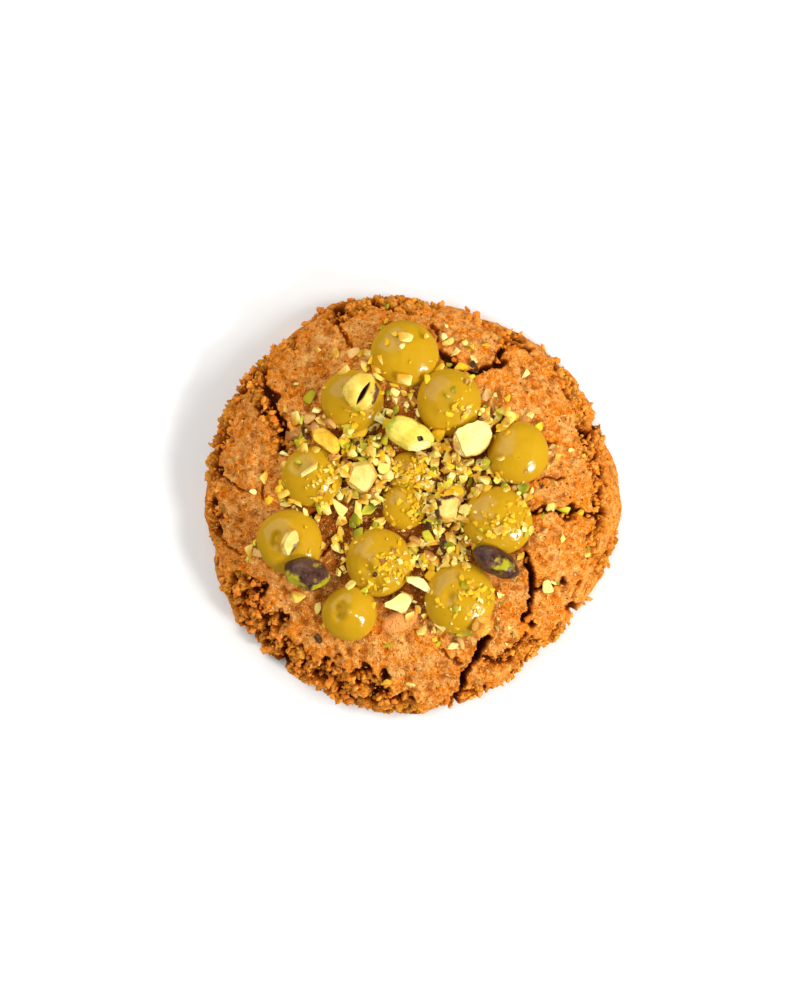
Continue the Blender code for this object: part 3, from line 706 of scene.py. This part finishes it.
NICKS = {  # smaller breaks round the edges: direction, share of the half-size
    "kernel_split": (((-0.9, 0.4, 0), 0.84), ((0.9, -0.5, 0.1), 0.88), ((0.4, 1, 0), 0.86),
                     ((1, 0.4, 0), 0.9)),
    "kernel_whole": (((0.85, -0.5, 0.4), 0.74),),
    "kernel_half": (((-1, 0.2, 0.9), 0.55), ((-0.3, -1, 0.1), 0.86), ((0.6, -1, 0), 0.9),
                    ((0.3, 1, 0), 0.86)),
    "kernel_chunk": (((0.2, 1, 0.5), 0.8), ((-0.5, -1, 0.3), 0.84), ((0.7, -0.7, 0.4), 0.86)),
    "kernel_broken": (((0.2, -1, 0.3), 0.86),),
    "kernel_yellow": (((-1, 0.5, 0.3), 0.75), ((0.8, 0.6, 0.4), 0.76), ((0.3, -1, 0.5), 0.68)),
    "kernel_slice": (((-0.3, 1, 0), 0.62), ((-0.8, -0.7, 0), 0.6), ((1, -0.8, 0), 0.8)),
    "kernel_sliver": (((0.1, -1, 0.2), 0.55), ((0.9, 0.9, 0), 0.7), ((-0.9, 0.8, 0), 0.76)),
    "kernel_wedge": (((0.2, 1, 0.2), 0.8), ((-1, 0.3, 0.4), 0.8)),
    "kernel_toffee": (((-0.4, 1, 0.5), 0.72), ((-0.5, -0.9, 0.4), 0.76)),
    "kernel_purple_left": (((1, -0.6, 0.3), 0.8), ((-0.3, -1, 0.4), 0.84)),
    "kernel_purple_right": (((0.2, -1, 0.6), 0.86),),
}
SLITS = {  # half-length, half-width, depth, middle
    "kernel_split": (0.66, 0.075, 2.0, (-0.05, -0.12)),
    "kernel_whole": (0.15, 0.1, 1.2, (0.42, 0.05)),
}
DENTED = ("kernel_purple_left", "kernel_purple_right")  # in whole skins, so their flats are dents, not cuts
# Where skin still clings: direction from the middle, and how far round it reaches (1 is a right angle)
SKINS = {
    "kernel_split": (((0.5, -1, 0.3), 0.38),),
    "kernel_broken": (((-1, 0.3, 0.3), 0.55), ((0.1, 1, 0.2), 0.35)),
    "kernel_half": (((-1, 0.1, 0.2), 0.36),),
    "kernel_purple_left": (((-0.1, 0.3, 1), 2.0),),
    "kernel_purple_right": (((0, 0, 1), 2.0),),
    "kernel_wedge": (((-0.6, -1, -0.2), 0.5),),
}
# Where a peeled kernel or a gap in the skin is green
GREENS = {
    "kernel_split": (((-0.9, -0.1, 0.1), 0.3),),
    "kernel_whole": (((-1, 0.2, 0), 0.4), ((-0.2, -1, -0.1), 0.36), ((0.1, 1, -0.1), 0.3)),
    "kernel_purple_left": (((-0.6, -0.9, 0.5), 0.36), ((1, -0.5, 0.3), 0.4), ((0.2, 0.9, 0.8), 0.04)),
    "kernel_purple_right": (((0.5, 0.2, 1), 0.28), ((0.2, -0.3, 1), 0.16)),
    "kernel_half": (((0.5, 0.8, 0.1), 0.4),),
    "kernel_wedge": (((-1, -0.6, 0.1), 0.4),),
}


def spots(directions, ways, spread):
    """1 near each of some directions on a kernel, and 0 away from them, with a ragged edge."""
    share = np.zeros(len(directions))
    for way, reach in ways:
        towards = np.array(way) / np.linalg.norm(way)
        turn = np.arccos(np.clip(directions @ towards, -1, 1)) / (math.pi / 2)
        share = np.maximum(share, ease(reach + PATCH_EDGE, reach - PATCH_EDGE, turn + 0.25 * spread))
    return share


def kernel_form(name, place, lift, size, turn, cuts, subdivisions):
    points, faces = ball(subdivisions, 1)
    directions = points.copy()
    whole = 1.000001  # a hair over 1, so nothing is divided by zero at the very ends
    ends = whole - np.abs(points[:, :1]) ** KERNEL_BLUNT.get(name, BLUNT)
    points[:, 1:] *= np.sqrt(ends / (whole - points[:, :1] ** 2)) * (1 - KERNEL_TAPER * points[:, :1] ** 2)
    cut = np.zeros(len(points))
    edge = np.zeros(len(points))
    for way, share in (*cuts, *NICKS.get(name, ())):
        outward = np.array(way) / np.linalg.norm(way)
        beyond = points @ outward - share
        points -= np.clip(beyond, 0, None)[:, None] * outward
        cut = np.maximum(cut, ease(-0.02, 0.04, beyond))
        edge = np.maximum(edge, ease(-0.01, 0.02, beyond) * ease(0.14, 0.03, beyond))
    half = np.array(size) / 2
    in_mm = points * half
    seed = sum(map(ord, name)) % 50
    wrinkles = 0.14 * lumps(in_mm * (0.35, 1, 1), 1.3, (seed, 0, 0)) + 0.5 * lumps(in_mm, 3.4, (0, seed, 0))
    broken = 0.22 * lumps(in_mm, 2.0, (seed, seed, 0)) + 0.16 * (pebbles(in_mm, 1.6) - 0.6)
    wrinkles = wrinkles * (1 - 0.6 * cut) + broken * cut + 0.06 * lumps(in_mm, 0.8, (0, 0, seed))
    in_mm += directions * (wrinkles - 0.12)[:, None]
    dark = np.zeros(len(points))
    if name in SLITS:
        half_length, half_width, depth, (middle_x, middle_y) = SLITS[name]
        along = (points[:, 0] - middle_x) / half_length
        across = (points[:, 1] - middle_y) / (half_width * np.clip(1 - along**2, 0.001, 1) * 2)
        # the slit is also painted near black: painted shade in it
        dark = ease(1.1, 0.7, np.abs(across)) * (np.abs(along) < 1) * (points[:, 2] > 0)
        in_mm[:, 2] -= depth * dark
        valley = np.exp(-((points[:, 1] - middle_y) / 0.3) ** 2) * np.clip(1 - along**2, 0, 1)
        in_mm[:, 2] -= SPLIT_VALLEY * valley * (points[:, 2] > 0) * (name == "kernel_split")
    spread = lumps(in_mm, 1.8, (3, seed, 3)) + 0.5 * lumps(in_mm, 0.7, (seed, 3, 3))
    bare = 0 if name in DENTED else cut
    marks = {
        "cut": bare,
        "skin": spots(directions, SKINS.get(name, ()), spread),
        "green": spots(directions, GREENS.get(name, ()), spread) * (1 - bare),
        "edge": 0 if name in DENTED else edge,
        "dark": dark,
    }
    angles = Euler([math.radians(angle) for angle in turn])
    where = Matrix.Translation((*place, top_height(*place) + lift)) @ angles.to_matrix().to_4x4()
    where = np.array(where)
    return in_mm @ where[:3, :3].T + where[:3, 3], faces, marks


def pistachio(name, flesh, shade, cut_face, cut_deep, green="#9A9A1C", skin="#40221A",
              worn_skin="#6C4630", roughness=0.42):
    """Pistachio flesh: firm, oily and satin, paler where it is broken, greener under the skin. What is left
    of the skin is papery and purple brown. Fine ridges run along the kernel."""
    material, tree, shader, place = new_material(name)
    mark = {which: add(tree, "Attribute", attribute_name=which).outputs["Fac"]
            for which in ("cut", "skin", "green", "edge", "dark")}
    clouds = add(tree, "TexNoise", {"Vector": place, "Scale": 1 / (3 * MM), "Detail": 4, "Roughness": 0.6})
    fine = add(tree, "TexNoise", {"Vector": place, "Scale": 1 / (0.5 * MM), "Detail": 3})
    cloud_share = add(tree, "MapRange", {"Value": clouds, "From Min": 0.38, "From Max": 0.64})
    body, face, skin_tone = (
        add(tree, "MixRGB", {"Fac": cloud_share, "Color1": paint(one), "Color2": paint(other)})
        for one, other in ((shade, flesh), (cut_face, cut_deep), (skin, worn_skin)))
    rimmed = add(tree, "MixRGB", {"Fac": mark["edge"], "Color1": face, "Color2": paint(shade)})
    skin_share = add(tree, "Math", {0: mark["skin"], 1: mark["green"]}, operation="SUBTRACT", use_clamp=True)
    flecks = add(tree, "MapRange", {"Value": fine, "From Min": 0.62, "From Max": 0.75, "To Max": 0.16})
    colour = body
    for how_much, over in (
        (mark["green"], paint(green)),
        (mark["cut"], rimmed),
        (skin_share, skin_tone),
        (flecks, paint("#FFF6C8")),
        # painted shade in the slit
        (mark["dark"], paint("#24140C")),
    ):
        colour = add(tree, "MixRGB", {"Fac": how_much, "Color1": colour, "Color2": over})
    ridges = add(tree, "Bump", {"Height": fine, "Strength": 0.8, "Distance": 0.12 * MM})
    set_sockets(tree, shader, {
        "Base Color": colour, "Roughness": roughness, "IOR": 1.47, "Normal": ridges,
        "Subsurface Weight": 0.1, "Subsurface Radius": (1.5, 1.3, 0.5), "Subsurface Scale": MM,
    })
    return material


peeled = pistachio("peeled_pistachio", "#F6DE66", "#E6CC48", "#F8F2B0", "#F0DC78", green="#B4B428")
split_green = pistachio("split_pistachio", "#F2D460", "#DDB43C", "#F6E68C", "#EAC858", green="#B4A824")
halved = pistachio("halved_pistachio", "#DCA43A", "#C08A24", "#F8F0A0", "#F4E280", green="#B4A428",
                   skin="#C8902E", worn_skin="#DCA850")
broken_pale = pistachio("broken_pistachio", "#E0B048", "#CC8E2C", "#F5D87C", "#E8BE58")
golden = pistachio("golden_pistachio", "#F2BE34", "#DE9E18", "#F8CA4A", "#F0B430", roughness=0.26)
purple_skin = pistachio("skinned_pistachio", "#B89030", "#8C6C1C", "#D8B84C", "#B0922C", green="#B0A81C",
                        worn_skin="#644434", roughness=0.34)
toffee = pistachio("toffee_pistachio", "#F8B048", "#C06C14", "#FFC860", "#F8A83C", roughness=0.1)
KERNEL_FINISH = {
    "kernel_whole": (peeled, "green_kernel"),
    "kernel_split": (split_green, "pistachio_kernel"),
    "kernel_half": (halved, "pistachio_kernel"),
    "kernel_slice": (halved, "pistachio_kernel"),
    "kernel_yellow": (golden, "pistachio_kernel"),
    "kernel_sliver": (peeled, "pistachio_kernel"),
    "kernel_purple_left": (purple_skin, "kernel_skin"),
    "kernel_purple_right": (purple_skin, "kernel_skin"),
    "kernel_toffee": (toffee, "caramelised_nut"),
}
kernel_shapes = []
for name, place, lift, size, turn, cuts in KERNELS:
    subdivisions = 6 if max(size) > FINELY_MESHED else 5
    points, faces, marks = kernel_form(name, place, lift, size, turn, cuts, subdivisions)
    kernel_shapes.append((points, faces))
    nut = new_piece("nut_" + name, points, faces, marks)
    finish, slot = KERNEL_FINISH.get(name, (broken_pale, "pistachio_kernel"))
    nut.data.materials.append(finish)
    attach(nut, "root")
    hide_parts(name)


# ---- The chopped nuts ---------------------------------------------------------------------------------
# Pistachios chopped with a knife to angular chips, slivers and grit, and scattered over the kisses while
# the cream was soft. They lie where they fell, on the dough, on the cream and on each other.

CHIPS = (  # x, y, length, width, heading, kind
    (-2, 45, 4.0, 3.0, 10, "pale"), (-5, 46, 2.2, 1.6, 120, "yellow"), (-3, 42.7, 2.4, 1.6, 80, "pale"),
    (-2, 33.5, 5.0, 3.6, -30, "pale"), (-12.5, 39.5, 2.6, 1.5, 20, "tan"),
    (-8.3, 38.5, 3.0, 1.6, -60, "pale"), (3.5, 33.5, 3.0, 2.6, 50, "yellow"),
    (-27.5, 29, 4.2, 2.8, 45, "green"), (-18.5, 35.8, 3.6, 2.8, 70, "pale"),
    (-28.2, 23.5, 4.5, 3.4, 60, "tan"), (-26.7, 21, 3.4, 2.6, 70, "tan"), (6.5, 11.5, 3.4, 2.8, 20, "pale"),
    (-1.5, 7, 3.0, 2.2, -20, "pale"), (1.8, 12.2, 2.2, 1.8, 0, "yellow"), (4.3, 13, 1.9, 1.5, 70, "pale"),
    (9, 5.2, 2.6, 2.2, 30, "pale"), (13, 4, 2.9, 1.7, -30, "pale"), (15.7, 2.2, 4.0, 2.0, 60, "pale"),
    (15, -1.3, 3.0, 2.1, 10, "pale"), (19, 6, 3.0, 2.6, 40, "pale"), (4.5, -5.5, 3.0, 2.4, 110, "yellow"),
    (3.7, 0.5, 2.9, 1.7, 85, "pale"), (10.8, 5, 2.9, 1.3, 80, "tan"), (15.8, 6.3, 3.5, 1.4, 70, "green"),
    (-9.5, -4, 3.0, 2.2, 30, "pale"), (-10.5, -5.8, 2.9, 2.5, 100, "green"),
    (-17.2, 18.8, 2.9, 2.4, -10, "pale"), (-14.6, 16.8, 2.5, 2.2, 60, "pale"),
    (-12, 14, 3.3, 2.6, 30, "pale"), (-8, 14, 2.6, 2.0, 80, "green"), (-7.5, 17.5, 4.0, 2.5, 75, "green"),
    (-13, 19.3, 4.2, 2.5, 10, "yellow"), (-30.3, 18.5, 3.3, 2.2, 80, "green"),
    (-26, 14.8, 2.6, 2.3, 40, "pale"), (-30.7, 11.5, 1.9, 1.5, 0, "green"),
    (20, 25.2, 2.6, 2.3, 20, "pale"), (23.5, 24, 3.0, 1.8, 60, "green"), (26, 24, 2.4, 2.0, -20, "pale"),
    (32, 24.5, 2.2, 1.9, 60, "pale"), (23, 19.3, 2.7, 2.3, 30, "pale"), (24, 12.2, 2.2, 1.8, 0, "pale"),
    (24, 6.5, 2.6, 2.2, 60, "pale"), (25, 4, 3.1, 2.6, 20, "pale"), (29.5, 4, 3.6, 3.0, 45, "green"),
    (23.5, -7, 4.0, 2.8, 0, "pale"), (30, -6.5, 2.3, 1.9, 10, "pale"), (-14.5, -8, 3.6, 3.0, 30, "green"),
    (-16.5, -22, 3.6, 2.8, 30, "pale"), (-13, -23, 2.3, 1.8, 0, "green"), (-31, -25, 4.2, 3.3, 20, "pale"),
    (-25.5, -28, 3.5, 2.0, 60, "pale"), (-24, -32.5, 2.3, 1.5, 70, "yellow"),
    (-10, -28.5, 2.2, 2.0, 30, "yellow"), (-7.5, -38.8, 4.0, 1.6, 30, "green"),
    (7.5, -33, 3.6, 2.4, -30, "pale"), (6, -36.7, 1.8, 1.4, 0, "yellow"), (5, -19, 3.6, 3.2, 20, "yellow"),
    (6, -12, 5.0, 2.0, -10, "pale"), (14, -9.8, 2.1, 1.6, 90, "pale"), (13.3, -14, 1.9, 1.5, 0, "pale"),
    (-41.5, -12.8, 4.0, 2.5, -20, "tan"), (-43, -10.5, 2.0, 1.3, 45, "yellow"),
    (-39, 1.2, 2.6, 2.0, 60, "yellow"), (19.8, 43.2, 2.3, 1.5, 0, "yellow"),
    (24.5, 43.5, 2.8, 1.3, 100, "yellow"), (16.7, 39.2, 3.0, 1.8, -60, "pale"),
    (13, 42.5, 1.5, 1.2, 0, "pale"), (25.5, 29, 2.3, 1.6, 80, "yellow"), (-7, 53.7, 1.6, 1.5, 0, "green"),
    (43, 14.5, 1.6, 1.2, 0, "pale"), (46, 13, 1.9, 1.4, 40, "pale"), (38, -21.5, 2.1, 1.6, 100, "pale"),
    (47.5, -13.7, 1.6, 1.3, 20, "pale"), (46, -2.3, 2.5, 1.8, 10, "yellow"),
    (-7, -48.3, 2.6, 1.9, -20, "yellow"), (-47.5, -19, 2.1, 1.5, 60, "yellow"),
    (-19.7, -0.8, 6.5, 3.2, -60, "pale"), (-15, -0.3, 6.5, 2.5, -80, "pale"),
    (-11.8, -1.4, 6.0, 2.8, 40, "green"), (7.5, 19, 4.5, 4.0, 0, "yellow"),
    (-18, 14.5, 4.0, 3.3, 80, "yellow"), (-27.5, 9.4, 6.3, 1.6, 36, "pale"),
    (14.5, -35.3, 5.5, 2.0, -10, "green"), (-8.8, 7.5, 2.1, 1.8, 0, "yellow"),
    (-9.7, 5.5, 2.0, 1.6, 60, "pale"), (-8.5, 3.5, 2.6, 1.6, 80, "pale"),
    (-11.5, 2.5, 2.1, 1.7, 0, "yellow"), (-16, 21, 3.1, 2.2, 90, "yellow"),
    (-21.5, 21, 2.2, 1.8, 0, "yellow"), (6.5, -0.2, 2.6, 2.2, 80, "purple"),
    (8.4, 2.6, 2.2, 1.4, 0, "purple"), (11, 30.5, 2.4, 0.9, 80, "green"),
    (13.5, -21.5, 2.8, 1.4, -50, "green"),
)
SCATTERED = 1250
SCATTER = (  # x, y, half-width, half-depth, weight: where the hand let most of them fall
    (0, 10, 16, 9, 1.0),
    (12, 1, 9, 8, 1.1),
    (-20, 14, 9, 9, 0.9),
    (-10, 3, 8, 6, 0.8),
    (8, -15, 8, 6, 0.6),
    (20, 22, 7, 5, 0.5),
    (22, -4, 9, 8, 0.8),
    (-8, -14, 9, 8, 0.7),
    (12, -25, 9, 9, 0.5),
    (9, 28, 8, 8, 0.5),
    (-12, 30, 9, 8, 0.4),
    (-27, 7, 8, 8, 0.5),
    (-33, -10, 8, 8, 0.12),
    (28, 14, 8, 8, 0.25),
    (-2, 41, 8, 8, 0.15),
    (0, 0, 50, 50, 0.012),
)
HEAP_KINDS = (60, 16, 12, 9, 3)  # shares of pale, yellow, green, tan and purple chips on the dough
GRIT_KINDS = (18, 74, 4, 3, 1)  # and of the smaller ones that the cream coats
GRIT_ON_KISS = (0.3, 0.5, 0.7, 0.3, 0.9, 1.6, 1.1, 0.2, 1.0, 0.9, 0.1, 1.8)
THROW_X, THROW_Y = 0.77, -0.64  # the way to where it was thrown from
CHIP_LENGTHS = (1.1, 3.2, 1.4)  # the least, how much longer the longest are, and how many more are short
GRIT_LENGTHS = (0.8, 1.6, 1.5)
SCATTER_FIELD = 50  # half the width of the square they fall on
SCATTER_REACH = 52  # none lies further out
KISS_EDGE = 0.94  # share of a kiss's radius inside which grit lies on it
LARGE_CHIP = 3.4  # as long as this, nothing else is scattered on it
CHIP_THICKNESS = 0.62
STEEPEST = 0.9  # slope on which a chip still lies along the surface
SHARD_CORNERS = 8
SHARD_SHAPES = 30
SHARP_EDGE = math.radians(32)
PILE_CELL = 0.4
PILE_HALF_WIDTH = 60


def shards(count, seed):
    """Some angular chips of unit length: hulls of a few scattered points with their edges worn off."""
    dice = random.Random(seed)
    made = []
    for _ in range(count):
        shape = hull([Vector([dice.gauss(0, 1) for axis in range(3)]).normalized() * dice.uniform(0.42, 0.56)
                      for corner in range(SHARD_CORNERS)])
        bmesh.ops.dissolve_limit(shape, angle_limit=0.3, verts=shape.verts, edges=shape.edges)
        bmesh.ops.bevel(shape, geom=shape.edges[:] + shape.verts[:], offset=0.045, segments=2, affect="EDGES",
                        clamp_overlap=True)
        bmesh.ops.triangulate(shape, faces=shape.faces)
        bmesh.ops.recalc_face_normals(shape, faces=shape.faces)
        points, faces = taken_from(shape)
        points /= np.ptp(points, axis=0)
        side = np.array([dice.gauss(0, 1) for axis in range(3)])
        outer = ease(0.12, 0.3, points @ (side / np.linalg.norm(side)))
        made.append((points, faces, outer))
    return made


def tree_of(shapes):
    """One search tree over several meshes given as (points, faces)."""
    points, faces = [], []
    for corners, sides in shapes:
        faces += [tuple(corner + len(points) for corner in side) for side in sides]
        points += corners.tolist()
    return BVHTree.FromPolygons(points, faces)


class Pile:
    """The height of what lies on the cookie, over a grid of small cells."""

    def __init__(self, shapes, half_width):
        self.half_width = half_width
        self.count = int(2 * half_width / PILE_CELL)
        surface = tree_of(shapes)
        self.heights = np.zeros((self.count, self.count))
        for i in range(self.count):
            for j in range(self.count):
                start = Vector((self.middle(i), self.middle(j), 60))
                hit = surface.ray_cast(start, Vector((0, 0, -1)))[0]
                self.heights[i, j] = hit.z if hit else 0.0

    def middle(self, cell):
        return (cell + 0.5) * PILE_CELL - self.half_width

    def patch(self, x, y, reach):
        """The cells within reach of a place, as a slice of the grid, and how far each is from it."""
        low_i, low_j = (max(0, int((value - reach + self.half_width) / PILE_CELL)) for value in (x, y))
        high_i, high_j = (int((value + reach + self.half_width) / PILE_CELL) + 2 for value in (x, y))
        i, j = np.mgrid[low_i : min(high_i, self.count), low_j : min(high_j, self.count)]
        return i, j, np.hypot(self.middle(i) - x, self.middle(j) - y)

    def slope(self, x, y, reach):
        i, j, away = self.patch(x, y, reach)
        inside = away <= reach + PILE_CELL
        i, j = i[inside], j[inside]
        flat = np.stack([self.middle(i) - x, self.middle(j) - y, np.ones(len(i))], axis=1)
        return np.linalg.lstsq(flat, self.heights[i, j], rcond=None)[0]

    def raise_to(self, x, y, reach, height):
        i, j, away = self.patch(x, y, reach)
        dome = height - 0.35 * reach * (away / reach) ** 2
        self.heights[i, j] = np.where(away <= reach, np.maximum(self.heights[i, j], dome), self.heights[i, j])


def lay_chip(pile, dice, x, y, length, width, heading, tilt, sink=0.0):
    """Sets one chip down on the pile, and returns its shape number, matrix and place."""
    reach = 0.42 * (length + width) / 2
    gradient_x, gradient_y, level = pile.slope(x, y, max(reach, PILE_CELL))
    steep = math.hypot(gradient_x, gradient_y)
    ease_off = min(1.0, STEEPEST / steep) if steep > 0 else 1.0
    up = Vector((-gradient_x * ease_off, -gradient_y * ease_off, 1)).normalized()
    thickness = CHIP_THICKNESS * width
    turned = Euler([math.radians(dice.uniform(-tilt, tilt)), math.radians(dice.uniform(-tilt, tilt)),
                    math.radians(heading)]).to_matrix()
    lying = Vector((0, 0, 1)).rotation_difference(up).to_matrix() @ turned
    size = Matrix.Diagonal((length, width, thickness))
    height = level + (0.42 - sink) * thickness
    pile.raise_to(x, y, reach, height + 0.42 * thickness)
    return dice.randrange(SHARD_SHAPES), np.array(lying @ size), (x, y, height)


def scatter_weight(x, y):
    return sum(weight * math.exp(-((x - mx) / wide) ** 2 - ((y - my) / deep) ** 2)
               for mx, my, wide, deep, weight in SCATTER)


def grit_share(x, y):
    """How much of the grit stays where it falls on a kiss, or None beside the kisses. It was thrown from the
    right, so most of it clings to their right and lower sides."""
    for (kx, ky, radius, height, heading), share in zip(KISSES, GRIT_ON_KISS):
        if math.hypot(x - kx, y - ky) < KISS_EDGE * radius:
            towards = ((x - kx) * THROW_X + (y - ky) * THROW_Y) / radius
            return share * (0.15 + 0.85 * float(ease(-0.4, 0.5, towards)))
    return None


pile = Pile([(cookie_points, cookie_faces)] + kiss_shapes + kernel_shapes, PILE_HALF_WIDTH)
shard_shapes = shards(SHARD_SHAPES, 5)
dice = random.Random(12)
laid = {kind: [] for kind in ("pale", "yellow", "green", "tan", "purple")}
for x, y, length, width, heading, kind in CHIPS:
    number, turn, place = lay_chip(pile, dice, x, y, length, width, heading, tilt=10)
    laid[kind].append((number, turn, place, dice.random()))
kept_clear = [(x, y, 0.46 * size[0]) for name, (x, y), lift, size, turn, cuts in KERNELS]
kept_clear += [(x, y, 0.4 * length) for x, y, length, width, heading, kind in CHIPS if length >= LARGE_CHIP]
placed = 0
while placed < SCATTERED:
    x, y = dice.uniform(-SCATTER_FIELD, SCATTER_FIELD), dice.uniform(-SCATTER_FIELD, SCATTER_FIELD)
    on_nut = any(math.hypot(x - nx, y - ny) < reach for nx, ny, reach in kept_clear)
    grit = grit_share(x, y)
    chance = scatter_weight(x, y) * (1 if grit is None else grit)
    if on_nut or dice.random() > chance or math.hypot(x, y) > SCATTER_REACH:
        continue
    kind = dice.choices(list(laid), HEAP_KINDS if grit is None else GRIT_KINDS)[0]
    coated = grit is not None and kind == "yellow"
    least, more, rarity = CHIP_LENGTHS if grit is None else GRIT_LENGTHS
    length = least + more * dice.random() ** rarity
    width = length * dice.uniform(0.5, 0.9)
    number, turn, place = lay_chip(pile, dice, x, y, length, width, dice.uniform(0, 360), tilt=35,
                                   sink=0.2 if coated else 0.05)
    laid[kind].append((number, turn, place, dice.random()))
    placed += 1


def chopped_nut(name, pale, deep, outside, roughness=0.45):
    """Chopped pistachio: each chip its own tint, pale where the knife went through, and coloured on the
    side that was the kernel's outside. A little light passes through its thin edges."""
    material, tree, shader, place = new_material(name)
    tint = add(tree, "Attribute", attribute_name="tint").outputs["Fac"]
    outer = add(tree, "Attribute", attribute_name="outer").outputs["Fac"]
    fine = add(tree, "TexNoise", {"Vector": place, "Scale": 1 / (0.6 * MM), "Detail": 3})
    flesh = add(tree, "MixRGB", {"Fac": tint, "Color1": paint(pale), "Color2": paint(deep)})
    sided = add(tree, "MixRGB", {"Fac": outer, "Color1": flesh, "Color2": paint(outside)})
    dim = add(tree, "MapRange", {"Value": fine, "From Min": 0.5, "From Max": 0.3, "To Max": 0.4})
    mottled = add(tree, "MixRGB", {"Fac": dim, "Color1": sided, "Color2": paint("#C08E2C")})
    relief = add(tree, "Bump", {"Height": fine, "Strength": 0.6, "Distance": 0.08 * MM})
    set_sockets(tree, shader, {
        "Base Color": mottled, "Roughness": roughness, "IOR": 1.47, "Normal": relief,
        "Specular IOR Level": 0.3,  # the knife left its faces rough
        "Subsurface Weight": 0.1, "Subsurface Radius": (1.2, 1.0, 0.4), "Subsurface Scale": MM,
    })
    return material


CHIP_FINISH = {
    "pale": chopped_nut("chopped_pistachio", "#FFF8A0", "#F6D254", "#DC9E1E"),
    "yellow": chopped_nut("cream_coated_chip", "#F8CC34", "#E0A812", "#EEBC28", roughness=0.22),
    "green": chopped_nut("green_chip", "#DCD43C", "#ACA016", "#80861A"),
    "tan": chopped_nut("toasted_chip", "#EAC074", "#C88E44", "#A46024"),
    "purple": chopped_nut("skin_flake", "#5A3420", "#3A1E14", "#46281C"),
}
for kind, chips in laid.items():
    heap = heap_piece(f"nut_chips_{kind}", shard_shapes, chips)
    heap.data.materials.append(CHIP_FINISH[kind])
    heap.data.set_sharp_from_angle(angle=SHARP_EDGE)
    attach(heap, "root")


# ---- The studio ---------------------------------------------------------------------------------------
# A flat white paper floor and four white softboxes. A small key at the near right glints in the cream, and
# a broad fill at the back left lies on it as a pale sheen. Two more, on the right and overhead, only
# brighten the cookie. The camera looks straight down.

FLOOR_SIZE = 3000
FLOOR_DROP = 0.2  # how far it lies under the foot, so that the two don't share a plane
FRAME_HEIGHT = 270  # mm of the floor's height that the frame takes in
CAMERA_HEIGHT = 1400  # above the top of the crust
CAMERA_OFF = (-3.5, 1.1)


def softbox(name, azimuth, elevation, distance, size, power, mirrored=True):
    """A soft light aimed at the cookie, white. Azimuth 0 is to the right, 90 to the back. A light that isn't
    mirrored has no reflection in the cream, as behind a polarising sheet."""
    light = bpy.data.lights.new(name, "AREA")
    light.shape = "RECTANGLE"
    light.size, light.size_y = size
    light.energy = power
    lamp = bpy.data.objects.new(name, light)
    lamp.visible_glossy = mirrored
    flat = distance * math.cos(math.radians(elevation))
    lamp.location = (flat * math.cos(math.radians(azimuth)), flat * math.sin(math.radians(azimuth)),
                     distance * math.sin(math.radians(elevation)))
    lamp.rotation_euler = (-lamp.location).to_track_quat("-Z", "Y").to_euler()
    bpy.context.scene.collection.objects.link(lamp)


half = FLOOR_SIZE / 2
corners = [(-half, -half, 0), (half, -half, 0), (half, half, 0), (-half, half, 0)]
floor = new_piece("floor", corners, [(0, 1, 2, 3)])
floor.location.z = -FLOOR_DROP * MM
paper, tree, shader, place = new_material("white_paper")
set_sockets(tree, shader, {"Base Color": paint("#F4F4F2"), "Roughness": 0.9})
floor.data.materials.append(paper)
floor.visible_glossy = False  # so it lays no white rim on the cream

softbox("key", -38, 36, 0.9, (0.2, 0.16), 5.4)
softbox("day", 3, 36, 0.9, (0.4, 0.4), 5.1, mirrored=False)
softbox("fill", 133, 40, 1.1, (1.3, 1.0), 5.8)
softbox("wash", 150, 66, 1.4, (0.8, 0.8), 7.0, mirrored=False)
world = bpy.data.worlds.new("studio")
bpy.context.scene.world = world
world.use_nodes = True
backdrop = {"Color": paint("#FFFFFF"), "Strength": 0.22}
set_sockets(world.node_tree, world.node_tree.nodes["Background"], backdrop)
world.cycles_visibility.glossy = False
bpy.context.scene.view_settings.view_transform = "Standard"

lens = bpy.data.cameras.new("camera")
lens.sensor_width = 36
lens.lens = lens.sensor_width * CAMERA_HEIGHT / FRAME_HEIGHT
lens.clip_start, lens.clip_end = 0.01, 10
camera = bpy.data.objects.new("camera", lens)
camera.location = (CAMERA_OFF[0] * MM, CAMERA_OFF[1] * MM, (HEIGHT + CAMERA_HEIGHT) * MM)
bpy.context.scene.collection.objects.link(camera)
bpy.context.scene.camera = camera
